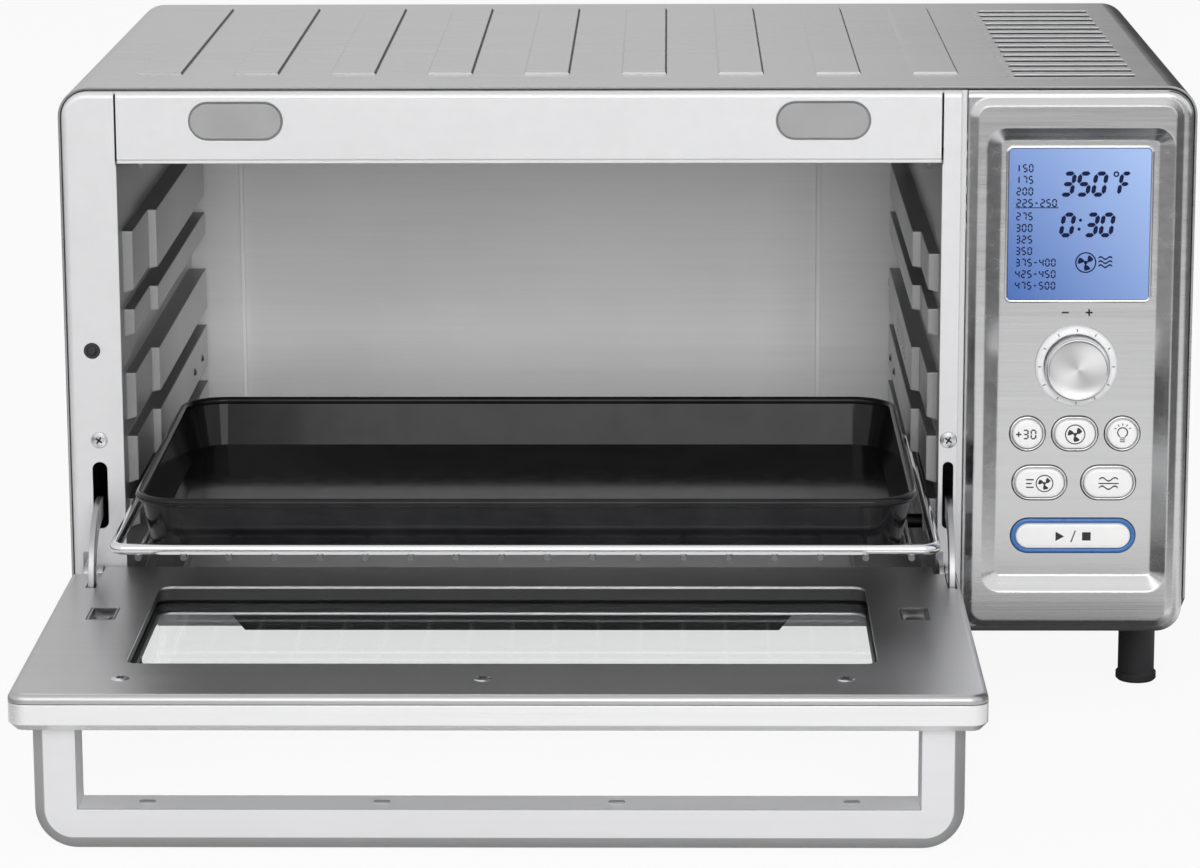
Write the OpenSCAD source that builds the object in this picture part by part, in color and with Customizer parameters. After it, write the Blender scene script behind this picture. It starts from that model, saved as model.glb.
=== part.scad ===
// Countertop convection oven with a drop-down front door.
// It is drawn with the door open, the wire rack drawn out over it and the baking pan on the rack.
// Lengths are in millimetres. +Z is up, the front faces -Y, and the origin lies on the table,
// under the middle of the oven with its door open.

/* [Casing] */
// Width of the front
body_w = 520; // [500:1:560]
// Depth of the casing, from the front face to the back panel's outer face
body_d = 320; // [318:1:360]
// Height of the front's top above the table
body_h = 296; // [290:1:330]
// Height of the casing's underside above the table
case_base = 38; // [34:0.5:39]
// Height of the front's lower edge above the table
front_base = 40; // [39:0.5:42]
// Radius of the casing's long corners
corner_r = 12; // [9:0.5:16]
// Radius of the fold round the front's edge
edge_r = 3; // [2:0.5:5]
// Thickness of the casing's sheet
sheet_t = 1; // [0.6:0.1:1.5]
// Thickness of the front's sheet
front_t = 1.2; // [0.8:0.1:1.5]
// Depth of the folded rim round the front
rim_d = 12; // [8:0.5:16]
// Gap between the front's rim and the wrapper that laps over it
lap_gap = 0.7; // [0.5:0.1:1.5]
// Gap between neighbouring sheets
seam = 0.3; // [0.2:0.05:0.5]

/* [Casing details] */
// Width of one pressed panel on the top
emboss_w = 21.5; // [16:0.5:30]
// Distance of the first pressed panel from the casing's left side
emboss_side = 30; // [20:0.5:40]
// Distance of the last pressed panel from the louvres
emboss_end = 25.5; // [16:0.5:40]
// Number of pressed panels
emboss_n = 9; // [5:1:9]
// Height of a pressed panel
emboss_h = 1.1; // [0.4:0.1:1.6]
// Number of louvres on the top
louvre_n = 15; // [8:1:15]
// Distance from one louvre to the next
louvre_pitch = 17.4; // [14:0.2:18]
// Length of a louvre
louvre_l = 56; // [40:1:70]
// Radius of a louvre's hood
louvre_r = 3; // [2.2:0.1:4]
// Height of a louvre's hood above the top
louvre_lift = 1.2; // [1.1:0.05:1.8]
// Distance of the first louvre behind the front face
louvre_front = 36; // [30:1:50]
// Width of a vent slot in the back panel
vent_w = 4; // [3:0.5:5]
// Length of a vent slot in the back panel
vent_l = 60; // [40:1:70]
// Number of vent slots in each block
vent_n = 8; // [5:1:10]
// Radius of a foot
foot_r = 8.75; // [7:0.25:11]
// Distance of the feet's middles from the casing's sides
foot_inset = 14; // [13:0.5:20]
// Distance of the front feet behind the front face
foot_front = 62; // [45:1:80]
// Distance of the rear feet in front of the back panel
foot_rear = 40; // [30:1:60]
// Length of the spacers behind the back panel
spacer_l = 12; // [8:0.5:16]

/* [Cavity] */
// Width of the left front post
post_w = 25; // [24:0.5:30]
// Width of the narrow post between the cavity and the control panel
mid_post_w = 11.6; // [11:0.2:14]
// Height of the header above the cavity
header_h = 33; // [30:0.5:38]
// Room between the cavity's back wall and the back panel
back_room = 20; // [14:0.5:24]
// Thickness of the liner's sheet
liner_t = 0.8; // [0.5:0.1:1.2]
// How far a rack guide stands into the cavity
rib_d = 9; // [7:0.25:9.5]
// Height of the channel that a rack slides in
channel_h = 7.5; // [7:0.5:9]
// Share of the guides' height from one rack level to the next
level_share = 0.2; // [0.17:0.005:0.21]
// Number of rack levels
rib_n = 4; // [3:1:4]
// Depth of the recess in the back wall
bay_d = 2.5; // [1.5:0.5:8]
// Radius of a heating rod
rod_r = 3.5; // [3:0.25:5]
// Height of the lower heating rods above the table
rod_low_z = 72; // [70:0.5:76]
// Drop of the upper heating rods below the cavity's top
rod_top_drop = 10.5; // [9.5:0.5:16]

/* [Control panel] */
// Width of the control panel
panel_w = 103.4; // [98:0.2:112]
// Rise of the panel's raised land above the front face
land_rise = 3.4; // [1.5:0.1:4]
// Width of the slope round the land
land_slope = 3.5; // [2:0.1:5]
// Width of the dished field's upper edge
dish_w = 86; // [84:0.5:88]
// Distance of the dish's ends from the front's ends
dish_end = 18.5; // [15:0.5:22]
// Height of the dish's middle above the panel's middle
dish_dz = 2; // [-2:0.5:4]
// Depth of the dish below the land
dish_d = 4.9; // [3:0.1:5.5]
// Width of the slope into the dish
dish_slope = 6.8; // [3:0.1:7.5]
// Width of the display window
lcd_w = 65.5; // [60:0.5:70]
// Share of the dish's height that the display window takes
lcd_share = 0.324; // [0.28:0.002:0.33]
// Height of the display's middle above the panel's middle, as a share of the dish's height
lcd_rise = 0.301; // [0.29:0.001:0.31]
// Radius of the selector knob
knob_r = 14.8; // [12:0.1:16]
// Length of the selector knob
knob_l = 11; // [8:0.5:14]
// Outer radius of the dial ring round the knob
dial_r = 18.9; // [17.5:0.1:20]
// Height of the selector's axis above the panel's middle
dial_dz = -0.5; // [-3:0.1:1]
// Radius of the selector's shaft
shaft_r = 3; // [2.5:0.1:3.5]
// Diameter of the round buttons, and height of all buttons
button_h = 13.8; // [12:0.2:15]
// Stroke of a button
button_stroke = 1.5; // [1:0.1:2]
// Running gap round a button
button_gap = 0.3; // [0.2:0.05:0.5]
// Width of the ring round a button
ring_w = 1; // [0.8:0.1:1.3]

/* [Door] */
// Distance of the door's left side inside the front's left side
door_left_gap = 1; // [0.5:0.1:3]
// Gap between the door and the control panel
door_side_gap = 3; // [2.5:0.1:4]
// Thickness of the door
door_t = 16; // [15:0.5:18]
// Thickness of the door's sheets
door_sheet = 1.2; // [0.8:0.1:1.5]
// Distance of the closed door's upper edge below the front's top
door_top_gap = 8.5; // [6:0.5:12]
// Radius of the turned edge of the door's inner sheet
lid_r = 3; // [2:0.25:3.5]
// Height of the turned edge of the door's inner sheet
lid_h = 4; // [3.6:0.1:6]
// Height of the open door's inner face above the table
door_z = 73; // [72:0.5:76]
// Gap between the closed door and the front face
door_gap = 1.5; // [1.4:0.1:2]
// Gap between the open door's rear edge and the front face
door_rear = 3; // [2.6:0.1:4]
// Depth of the hinge axis below the open door's inner face
axis_drop = 4; // [3.5:0.1:4.5]
// Radius of the door's corners
door_r = 8; // [6:0.5:12]
// Width of the chamfer round the door's outer face
door_chamfer = 3; // [2:0.25:4]
// Distance of the window's ends from the door's sides
window_side = 44.3; // [40:0.1:60]
// Distance of the window's upper edge from the door's free edge
window_inset = 50; // [48:0.5:56]
// Distance of the window's lower edge from the door's hinged edge
window_rear = 39; // [36:0.5:60]
// Thickness of the glass
glass_t = 4; // [3:0.5:5]
// How far the glass reaches under the gasket
glass_hold = 5; // [3:0.5:6]
// Distance of the handle's ends from the door's sides
handle_side = 8.8; // [6:0.1:20]
// Width of the handle's bar
handle_bar = 19; // [16:0.5:22]
// Depth of the handle's bar
handle_d = 20; // [16:0.5:24]
// Outer corner radius of the handle
handle_r = 18; // [10:0.5:30]
// Chamfer round the handle's outer edges
handle_chamfer = 3.5; // [2:0.25:5]
// Distance of the handle from the door's free edge
handle_inset = 10; // [6:0.5:16]
// Gap between the open door's handle and the table
table_gap = 1.2; // [1:0.1:3]

/* [Hinges] */
// Radius of a hinge pin
pin_r = 2.5; // [2:0.1:2.8]
// Running clearance round a shaft or pin
run_gap = 0.05; // [0.02:0.01:0.08]
// Radius of the hinge arm's curve about the pin
arm_r = 32; // [29:0.5:36]
// Width of the hinge arm's curve
arm_w = 10; // [8:0.5:12]
// Thickness of a hinge arm
arm_t = 2.5; // [2:0.1:3]

/* [Rack, pan and tray] */
// Gap between the rack and the cavity's side walls
rack_side_gap = 4; // [3:0.25:5]
// Depth of the rack
rack_d = 232; // [226:1:234]
// How far the rack is drawn out in front of the front face
rack_out = 98; // [80:1:98]
// Height of the rack's rim above the open door's inner face
rack_rise = 31; // [30.5:0.5:34]
// Radius of the rack's rim wire
wire_r = 2.5; // [2:0.1:3]
// Radius of the rack's thin wires
thin_r = 1.5; // [1.2:0.1:1.8]
// Number of thin wires
thin_n = 18; // [12:1:28]
// Distance of the pan's rim from the rack's sides
pan_side = 10; // [9:0.5:20]
// Distance of the pan's rim from the rack's front and back
pan_end = 5; // [5:0.5:16]
// Height of the pan
pan_h = 24; // [20:0.5:30]
// Wall of the pan
pan_t = 1.2; // [0.8:0.1:1.6]
// Corner radius of the pan's rim
pan_r = 22; // [16:0.5:28]
// Slope of the pan's wall, from its foot to its rim
pan_draft = 5; // [3:0.5:6]
// Radius of the pan's rolled rim
bead_r = 2; // [1.6:0.1:2.4]
// Distance of the crumb tray from the cavity's left wall
tray_left = 17; // [12:0.5:24]
// Distance of the crumb tray from the cavity's right wall
tray_right = 35; // [14:0.5:40]
// Height of the crumb tray's underside above the table
tray_z = 46; // [45:0.25:47]
// Height of the crumb tray's sides
tray_h = 6; // [4:0.5:7]
// Distance of the grip's ends from the crumb tray's sides
grip_side = 31; // [20:0.5:60]
// How far the grip stands out
grip_d = 11; // [8:0.5:14]

/* [Hidden] */
$fn = 48;

// A small overlap for cuts that run clean through a sheet
cut = 1;

// Front face, and the places that follow from it
axis_z = door_z - axis_drop;
door_reach = body_h - door_top_gap - axis_z + door_gap + axis_drop;
front_y = (door_reach - body_d - spacer_l) / 2;
back_y = front_y + body_d;
front_h = body_h - front_base;
front_mid = (body_h + front_base) / 2;
wrap_out = lap_gap + sheet_t;
wrap_w = body_w + 2 * wrap_out;
wrap_top = body_h + wrap_out;
wrap_r = corner_r + wrap_out;
wrap_y = front_y + edge_r + 0.8;
rim_back = front_y + rim_d;
corner_cut = 24;

// Cavity
panel_x0 = body_w / 2 - panel_w;
panel_mid = panel_x0 + panel_w / 2;
cavity_x0 = -body_w / 2 + post_w;
cavity_x1 = panel_x0 - mid_post_w;
cavity_mid = (cavity_x0 + cavity_x1) / 2;
cavity_w = cavity_x1 - cavity_x0;
cavity_z = body_h - header_h;
cavity_d = body_d - back_room;
cavity_back = front_y + cavity_d;
liner_front = front_y + front_t + seam;
liner_base = case_base + sheet_t;
fold_top = front_base + edge_r;
sill_z = door_z - 7;
opening_r = 4;

// Heating rods: two high, two low
rod_y = [front_y + 0.3 * cavity_d, front_y + 0.7 * cavity_d];
rod_high_z = cavity_z - rod_top_drop;
rod_over = 6;
bush_r = rod_r + 2.8;
bush_flange_r = bush_r + 2.2;
bush_flange_t = 3;

// Door
door_x1 = panel_x0 - door_side_gap;
door_w = door_x1 + body_w / 2 - door_left_gap;
door_mid = door_x1 - door_w / 2;
door_l = door_reach - door_rear;
door_mid_y = front_y - door_rear - door_l / 2;
door_under = door_z - door_t;
axis_y = front_y - door_gap - axis_drop;
window_w = door_w - 2 * window_side;
window_h = door_l - window_inset - window_rear;
handle_w = door_w - 2 * handle_side;
window_y = front_y - door_reach + window_inset + window_h / 2;
glass_z = door_under + door_sheet + 4;
arm_x = [-body_w / 2 + 13.5, panel_x0 - 7.1];
tab_x = [-body_w / 2 + 7, panel_x0 - 10];
tab_t = 2;
hinge_reach = 19;
arm_bar = 38;
slot_w = [arm_t + 4.5, arm_t + 2.5];
slot_z0 = axis_z + 21;
slot_z1 = axis_z + 53;

// Rack, pan and tray
rack_z = door_z + rack_rise;
rack_w = cavity_w - 2 * rack_side_gap;
rack_y0 = front_y - rack_out;
weld = 0.4;
thin_z = rack_z - wire_r - thin_r + weld;
stay_z = thin_z - thin_r - wire_r + weld;
pan_z = thin_z + thin_r + 0.2;
pan_mid_y = rack_y0 + rack_d / 2;
pan_w = rack_w - 2 * pan_side;
pan_d = rack_d - 2 * pan_end;
tray_w = cavity_w - tray_left - tray_right;
grip_w = tray_w - 2 * grip_side;
tray_x0 = cavity_x0 + tray_left;
tray_mid = tray_x0 + tray_w / 2;
tray_top = tray_z + tray_h + 2;
tray_y1 = cavity_back - 12;
tray_t = 0.8;
rail_gap = 0.2;
rail_t = 0.9;
rail_h = 12;

// Control panel: the field is the floor of the dish
groove_w = 3;
groove_d = 3;
land_side = 4.8;
dish_h = front_h - 2 * dish_end;
dish_mid = front_mid + dish_dz;
lcd_h = lcd_share * dish_h;
lcd_dz = lcd_rise * dish_h;
land_y = front_y - land_rise;
field_y = land_y + dish_d;
field_back = field_y + front_t;
dial_z = front_mid + dial_dz;
board_y = field_back + 9.8;
board_t = 1.6;
button_face = field_y - 2.2;
button_flange = 1.5;
button_back = field_back + 4.2;

// Buttons: sideways place, height above the panel's middle and width of each
row_1 = -0.1493 * dish_h;
row_2 = -0.2562 * dish_h;
row_3 = -0.3721 * dish_h;
timer_place = [-22, row_1, button_h];
convection_place = [0, row_1, button_h + 5];
lamp_place = [22, row_1, button_h];
speed_place = [-16, row_2, button_h + 9];
dual_place = [16, row_2, button_h + 9];
start_place = [0, row_3, button_h + 41.6];
small_buttons = [timer_place, convection_place, lamp_place, speed_place, dual_place];

// Fan behind the right wall
fan_y = front_y + 0.55 * cavity_d;
fan_z = cavity_z - 98;
fan_r = 48;
fan_x0 = cavity_x1 + liner_t + 4;
fan_depth = 16;
fan_shaft_r = 2.5;
motor_x0 = fan_x0 + fan_depth + 12;
motor_l = 40;
motor_r = 28;
motor_bore = 14;
shaft_in = 12;
bracket_margin = 6;
bracket_t = 2;
bracket_reach = 38;

// Rack guides: the third channel is taller than the others
guide_z = rack_z - wire_r - seam;
guide_top = rod_high_z - 23.5;
rib_pitch = level_share * (rod_high_z - guide_z);
tall_h = 0.56 * rib_pitch;

// Lamp and probe on the right wall
lamp_y = cavity_back - 38;
lamp_z = cavity_z - 27;
lamp_r = 15;
probe_y = cavity_back - 8;
probe_z = cavity_z - 110;
probe_r = 2;
probe_in = 9;

// Door switch in the left post
switch_x = -body_w / 2 + 11.4;
switch_z = door_z + 102;
plunger_r = 2.2;
switch_r = 3.5;
screw_z = door_z + 59.5;
screw_r = 4;

// A rectangle with round corners, about its middle
module rounded_rect(w, h, r) {
    square([w - 2 * r, h], center = true);
    square([w, h - 2 * r], center = true);
    for (x = [-1, 1], y = [-1, 1])
        translate([x * (w / 2 - r), y * (h / 2 - r)]) circle(r);
}

// A bar with round ends, or a disc when it is as wide as it is high
module stadium(w, h) {
    if (w > h) square([w - h, h], center = true);
    for (x = [-1, 1]) translate([x * (w - h) / 2, 0]) circle(h / 2);
}

// An outline drawn in X and Z, given a thickness behind y
module plate_xz(y, t) {
    translate([0, y + t, 0]) rotate([90, 0, 0]) linear_extrude(t) children();
}

// An outline drawn in Y and Z, given a thickness to the right of x
module plate_yz(x, t) {
    translate([x, 0, 0]) rotate([90, 0, 90]) linear_extrude(t) children();
}

// A round bar along X, from x0 to x1
module bar_x(x0, x1, y, z, r) {
    translate([x0, y, z]) rotate([0, 90, 0]) cylinder(h = x1 - x0, r = r);
}

// A round bar along Y, from y0 to y1
module bar_y(x, z, y0, y1, r) {
    translate([x, y1, z]) rotate([90, 0, 0]) cylinder(h = y1 - y0, r = r);
}

// A box between two corners
module box(a, b) {
    translate(a) cube(b - a);
}

// A profile carried round a rounded rectangle; its x runs outwards from the corners' centres
module sweep_rect(w, d, r) {
    for (i = [0:3]) {
        sx = (i == 0 || i == 3) ? 1 : -1;
        sy = (i < 2) ? 1 : -1;
        translate([sx * (w / 2 - r), sy * (d / 2 - r), 0]) rotate([0, 0, 90 * i])
            rotate_extrude(angle = 90) children();
    }
    for (turn = [0, 180]) rotate([0, 0, turn]) {
        translate([w / 2 - r, d / 2 - r, 0]) rotate([90, 0, 0]) linear_extrude(d - 2 * r) children();
        rotate([0, 0, 90]) translate([d / 2 - r, w / 2 - r, 0]) rotate([90, 0, 0])
            linear_extrude(w - 2 * r) children();
    }
}

// The same things on the left and on the right of the cavity
module both_sides() {
    children();
    translate([2 * cavity_mid, 0, 0]) mirror([1, 0, 0]) children();
}

// Casing

// Arch outline of the wrapper, open below
module arch(w, z0, z1, r) {
    translate([-w / 2, z0]) square([w, z1 - r - z0]);
    translate([-w / 2 + r, z0]) square([w - 2 * r, z1 - z0]);
    for (x = [-1, 1]) translate([x * (w / 2 - r), z1 - r]) circle(r);
}

// Raised panel pressed into the top, with sloped long sides
module emboss(x, y0, y1) {
    slope = 0.8 * emboss_h;
    translate([x, y1, wrap_top - cut / 4]) rotate([90, 0, 0]) linear_extrude(y1 - y0)
        polygon([[0, 0], [0, cut / 4], [slope, cut / 4 + emboss_h],
                 [emboss_w - slope, cut / 4 + emboss_h], [emboss_w, cut / 4], [emboss_w, 0]]);
}

// Hood of one louvre: a quarter of a tube over its slot
module louvre_hood(x0, y) {
    sink = louvre_r - louvre_lift;
    translate([x0, y, wrap_top - sink]) rotate([90, 0, 90]) linear_extrude(louvre_l)
        intersection() {
            difference() {
                circle(louvre_r);
                circle(louvre_r - sheet_t * 0.8);
            }
            translate([0, sink - cut / 4]) square([2 * louvre_r, 2 * louvre_r]);
        }
}

module outer_wrapper() {
    louvre_x = panel_mid - louvre_l / 2;
    louvre_y0 = front_y + louvre_front;
    emboss_x0 = emboss_side - body_w / 2;
    emboss_x1 = louvre_x - emboss_end - emboss_w;
    emboss_pitch = (emboss_x1 - emboss_x0) / (emboss_n - 1);
    emboss_front = 45;
    emboss_rear = 26;
    // each slot shows a little at its hood's left end
    slot_over = 4;
    color([0.70, 0.70, 0.71]) {
        difference() {
            plate_xz(wrap_y, back_y - sheet_t - wrap_y) difference() {
                arch(wrap_w, case_base, wrap_top, wrap_r);
                arch(wrap_w - 2 * sheet_t, case_base - cut, wrap_top - sheet_t, wrap_r - sheet_t);
            }
            // lower front corners, cut back behind the front's round corners
            plate_yz(-wrap_w / 2 - cut, wrap_w + 2 * cut)
                polygon([[wrap_y - cut, case_base - cut], [rim_back + corner_cut, case_base - cut],
                         [wrap_y - cut, front_base + corner_r + 4]]);
            for (i = [0:louvre_n - 1])
                translate([louvre_x - slot_over, louvre_y0 + i * louvre_pitch, wrap_top - sheet_t - cut])
                    cube([louvre_l + slot_over, louvre_r - sheet_t, sheet_t + 2 * cut]);
        }
        for (i = [0:emboss_n - 1])
            emboss(emboss_x0 + i * emboss_pitch, front_y + emboss_front, back_y - emboss_rear);
        for (i = [0:louvre_n - 1]) louvre_hood(louvre_x, louvre_y0 + i * louvre_pitch);
    }
}

// Places of the back panel's screws, on its outline
function back_screws() = [for (x = [-1, 0, 1], z = [case_base + 10, wrap_top - 10])
    [x * (wrap_w / 2 - 22), z]];

module back_panel() {
    block_x = [cavity_mid - 90, cavity_mid + 90, panel_mid - 5];
    color([0.62, 0.62, 0.63]) difference() {
        plate_xz(back_y - sheet_t, sheet_t) arch(wrap_w, case_base, wrap_top, wrap_r);
        for (x = block_x, i = [0:vent_n - 1])
            plate_xz(back_y - 2 * sheet_t, 3 * sheet_t)
                translate([x, front_mid + 30 + (i - vent_n / 2) * 2.4 * vent_w]) stadium(vent_l, vent_w);
        for (p = back_screws()) bar_y(p[0], p[1], back_y - 2 * sheet_t, back_y + cut, 1.6);
        bar_y(panel_mid, case_base + 34, back_y - 2 * sheet_t, back_y + cut, 7);
    }
}

module bottom_pan() {
    half = wrap_w / 2 - sheet_t - seam;
    flange = 8;
    color([0.55, 0.55, 0.56]) difference() {
        union() {
            box([-half, rim_back + corner_cut, case_base], [half, back_y - sheet_t - seam, case_base + sheet_t]);
            box([corner_r + 2 - half, rim_back + seam, case_base],
                [half - corner_r - 2, rim_back + corner_cut + cut, case_base + sheet_t]);
            for (s = [-1, 1])
                box([s * half - (s > 0 ? sheet_t : 0), rim_back + corner_cut, case_base],
                    [s * half + (s > 0 ? 0 : sheet_t), back_y - sheet_t - seam, case_base + flange]);
        }
        for (p = foot_places()) translate([p[0], p[1], case_base - cut]) cylinder(h = sheet_t + 2 * cut, r = 2.6);
    }
}

// Middles of the four feet
function foot_places() = [for (x = [-1, 1], y = [front_y + foot_front, back_y - foot_rear])
    [x * (body_w / 2 - foot_inset), y]];

module feet() {
    flange_h = 4;
    color([0.06, 0.06, 0.065]) for (p = foot_places()) translate([p[0], p[1], 0]) rotate_extrude()
        polygon([[0, 0], [foot_r, 0], [foot_r + 1, 1], [foot_r + 1, flange_h], [foot_r, flange_h + 1],
                 [foot_r, case_base - 1], [foot_r - 1, case_base], [2.5, case_base],
                 [2.5, case_base + sheet_t], [0, case_base + sheet_t]]);
}

module rear_spacers() {
    color([0.06, 0.06, 0.065]) for (x = [-1, 1]) translate([x * body_w * 0.38, back_y, case_base + 74])
        rotate([-90, 0, 0]) rotate_extrude()
            polygon([[0, 0], [9, 0], [9, 2], [6, 3], [5, spacer_l - 1], [4, spacer_l], [0, spacer_l]]);
}

module cord_gland() {
    color([0.05, 0.05, 0.055]) translate([panel_mid, back_y, case_base + 34]) rotate([-90, 0, 0])
        rotate_extrude() polygon([[4, -6], [6.8, -6], [6.8, 0], [10, 0], [10, 3], [7.5, 4], [6, 10], [4, 10]]);
}

module case_screws() {
    color([0.78, 0.78, 0.80]) for (p = back_screws()) translate([p[0], back_y, p[1]]) rotate([-90, 0, 0])
        rotate_extrude() polygon([[0, -5], [1.5, -5], [1.5, 0], [3.5, 0], [3.2, 1.2], [2, 1.8], [0, 2]]);
}

// Front

// Section of the folded rim: the front's edge turns back round a small radius,
// and its end steps out to carry the wrapper
module rim_profile() {
    flat = corner_r - edge_r;
    step_d = 2;
    difference() {
        union() {
            translate([flat, -rim_d]) square([edge_r, rim_d - edge_r]);
            translate([flat, -rim_d]) square([edge_r + lap_gap, step_d]);
            translate([flat, -edge_r]) circle(edge_r);
        }
        translate([flat - 2 * edge_r, -rim_d - cut]) square([2 * edge_r, rim_d + 2 * cut]);
        translate([flat - cut, -rim_d - cut]) square([edge_r - front_t + cut, rim_d - edge_r + cut]);
        translate([flat, -edge_r]) circle(edge_r - front_t);
    }
}

// Flat outline of the front, inside the rim's fold
module front_outline() {
    translate([0, front_mid]) rounded_rect(body_w - 2 * edge_r, front_h - 2 * edge_r, corner_r - edge_r);
}

module front_rim() {
    translate([0, front_y, front_mid]) rotate([90, 0, 0]) sweep_rect(body_w, front_h, corner_r) rim_profile();
}

// The part of the front left or right of the panel's seam
module front_half(x0, x1) {
    intersection() {
        children();
        box([x0, front_y - 2 * cut, front_base - cut], [x1, front_y + rim_d + cut, body_h + cut]);
    }
}

module front_frame() {
    side = panel_x0 - groove_w;
    fold_z = [front_base + edge_r, body_h - edge_r];
    slit_w = 0.9;
    color([0.90, 0.90, 0.91]) difference() {
        union() {
            front_half(-body_w / 2 - cut, side) {
                front_rim();
                plate_xz(front_y, front_t) front_outline();
            }
            // groove beside the control panel
            box([side - front_t, front_y, fold_z[0]], [side, front_y + groove_d + front_t, fold_z[1]]);
            box([side - front_t, front_y + groove_d, front_base],
                [panel_x0 - seam, front_y + groove_d + front_t, body_h]);
        }
        // cavity opening, with square upper corners
        plate_xz(front_y - cut, front_t + 2 * cut) {
            translate([cavity_mid, (sill_z + cavity_z) / 2])
                rounded_rect(cavity_w, cavity_z - sill_z, opening_r);
            translate([cavity_x0, (sill_z + cavity_z) / 2]) square([cavity_w, (cavity_z - sill_z) / 2]);
        }
        // seams at the header's ends
        for (x = [cavity_x0, cavity_x1])
            box([x - slit_w / 2, front_y - cut, cavity_z - cut],
                [x + slit_w / 2, front_y + front_t + 1.2, body_h + cut]);
        // notch for the crumb tray, open below
        box([tray_x0 - 4, front_y - cut, front_base - cut],
            [tray_x0 + tray_w + 4, front_y + rim_d + cut, tray_top + 0.6]);
        // slots for the hinge arms
        for (i = [0, 1])
            plate_xz(front_y - cut, front_t + 2 * cut) translate([arm_x[i], (slot_z0 + slot_z1) / 2])
                rotate(90) stadium(slot_z1 - slot_z0, slot_w[i]);
        // holes for the rest pads
        pad_holes(front_y, front_t);
        // hole for the door switch
        bar_y(switch_x, switch_z, front_y - cut, front_y + front_t + cut, switch_r + seam);
        for (x = arm_x) bar_y(x, screw_z, front_y - cut, front_y + front_t + cut, 1.6);
    }
}

// Places of the door's rest pads on the header
pad_x = [cavity_x0 + 55.6, cavity_x1 - 54.7];
pad_w = 41.8;
pad_h = 16.2;
pad_z = body_h - 13.4;
pad_gap = 0.9;
header_t = 0.6;

module pad_holes(y, t) {
    plate_xz(y - cut, t + 2 * cut) for (x = pad_x)
        translate([x, pad_z]) stadium(pad_w + 2 * pad_gap, pad_h + 2 * pad_gap);
}

module header_panel() {
    header_top = body_h - edge_r;
    hem = 1.4;
    groove = 0.4;
    color([0.91, 0.91, 0.92]) difference() {
        plate_xz(front_y - header_t, header_t) translate([cavity_x0 + 0.5, cavity_z])
            square([cavity_w - 1, header_top - cavity_z]);
        // the lower hem
        box([cavity_x0, front_y - header_t - cut, cavity_z + hem],
            [cavity_x1, front_y - header_t / 3, cavity_z + hem + groove]);
        pad_holes(front_y - header_t, header_t);
    }
}

module header_bumpers() {
    // each pad has a flange behind the front
    lip = 2;
    lip_t = 1.2;
    color([0.58, 0.58, 0.59]) for (x = pad_x) {
        plate_xz(front_y - door_gap + seam, door_gap - seam + front_t + lip_t)
            translate([x, pad_z]) stadium(pad_w, pad_h);
        plate_xz(front_y + front_t, lip_t) translate([x, pad_z]) stadium(pad_w + 2 * lip, pad_h + 2 * lip);
    }
}

module frame_screws() {
    color([0.80, 0.80, 0.82]) for (x = arm_x) translate([x, front_y, screw_z]) rotate([90, 0, 0])
        rotate_extrude() polygon([[0, -6], [1.5, -6], [1.5, 0], [screw_r, 0], [screw_r - 0.4, 0.6],
                                  [screw_r / 2, 0.9], [0, 1]]);
}

// Sheet that slopes from (r0, z0) in to (r1, z1), seen in section
module slope_section(r0, z0, r1, z1) {
    polygon([[r0, z0 - front_t], [r0, z0], [r1, z1], [r1, z1 - front_t]]);
}

// Outline of one button with an even margin round it
module button_outline(p, margin) {
    translate([panel_mid + p[0], front_mid + p[1]]) stadium(p[2] + 2 * margin, button_h + 2 * margin);
}

module control_panel() {
    land_x0 = panel_x0 + 1;
    land_x1 = body_w / 2 - land_side;
    land_w = land_x1 - land_x0;
    land_mid = (land_x0 + land_x1) / 2;
    land_h = front_h - 2 * edge_r;
    land_r = corner_r - edge_r;
    dish_r = land_r;
    color([0.84, 0.84, 0.85]) difference() {
        union() {
            // side of the groove, then the rim and the front face
            box([panel_x0, front_y, front_base + edge_r],
                [panel_x0 + 1, front_y + groove_d + 2 * front_t, body_h - edge_r]);
            front_half(panel_x0, body_w / 2 + cut) {
                front_rim();
                plate_xz(front_y, front_t) difference() {
                    front_outline();
                    translate([land_mid, front_mid]) rounded_rect(land_w, land_h, land_r);
                }
            }
            // shoulder, land, slope into the dish, and the field
            translate([land_mid, front_y, front_mid]) rotate([90, 0, 0])
                sweep_rect(land_w, land_h, land_r)
                    slope_section(land_r, 0, land_r - land_slope, land_rise);
            plate_xz(land_y, front_t) difference() {
                translate([land_mid, front_mid])
                    rounded_rect(land_w - 2 * land_slope, land_h - 2 * land_slope, land_r - land_slope);
                translate([panel_mid, dish_mid]) rounded_rect(dish_w, dish_h, dish_r);
            }
            translate([panel_mid, land_y, dish_mid]) rotate([90, 0, 0])
                sweep_rect(dish_w, dish_h, dish_r)
                    slope_section(dish_r, 0, dish_r - dish_slope, -dish_d);
            plate_xz(field_y, front_t) translate([panel_mid, dish_mid])
                rounded_rect(dish_w - 2 * dish_slope, dish_h - 2 * dish_slope, dish_r - dish_slope);
        }
        // display, selector and button holes
        plate_xz(field_y - cut, front_t + 2 * cut) translate([panel_mid, front_mid + lcd_dz])
            rounded_rect(lcd_w, lcd_h, 2);
        bar_y(panel_mid, dial_z, field_y - cut, field_back + cut, shaft_r + 2);
        plate_xz(field_y - cut, front_t + 2 * cut) {
            for (p = small_buttons) button_outline(p, button_gap);
            button_outline(start_place, button_gap);
        }
    }
}

// Controls

module display_window() {
    color([0.45, 0.62, 0.90]) plate_xz(field_y - 0.4, front_t + 1.2) translate([panel_mid, front_mid + lcd_dz])
        rounded_rect(lcd_w - 2 * seam, lcd_h - 2 * seam, 2 - seam);
}

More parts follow.
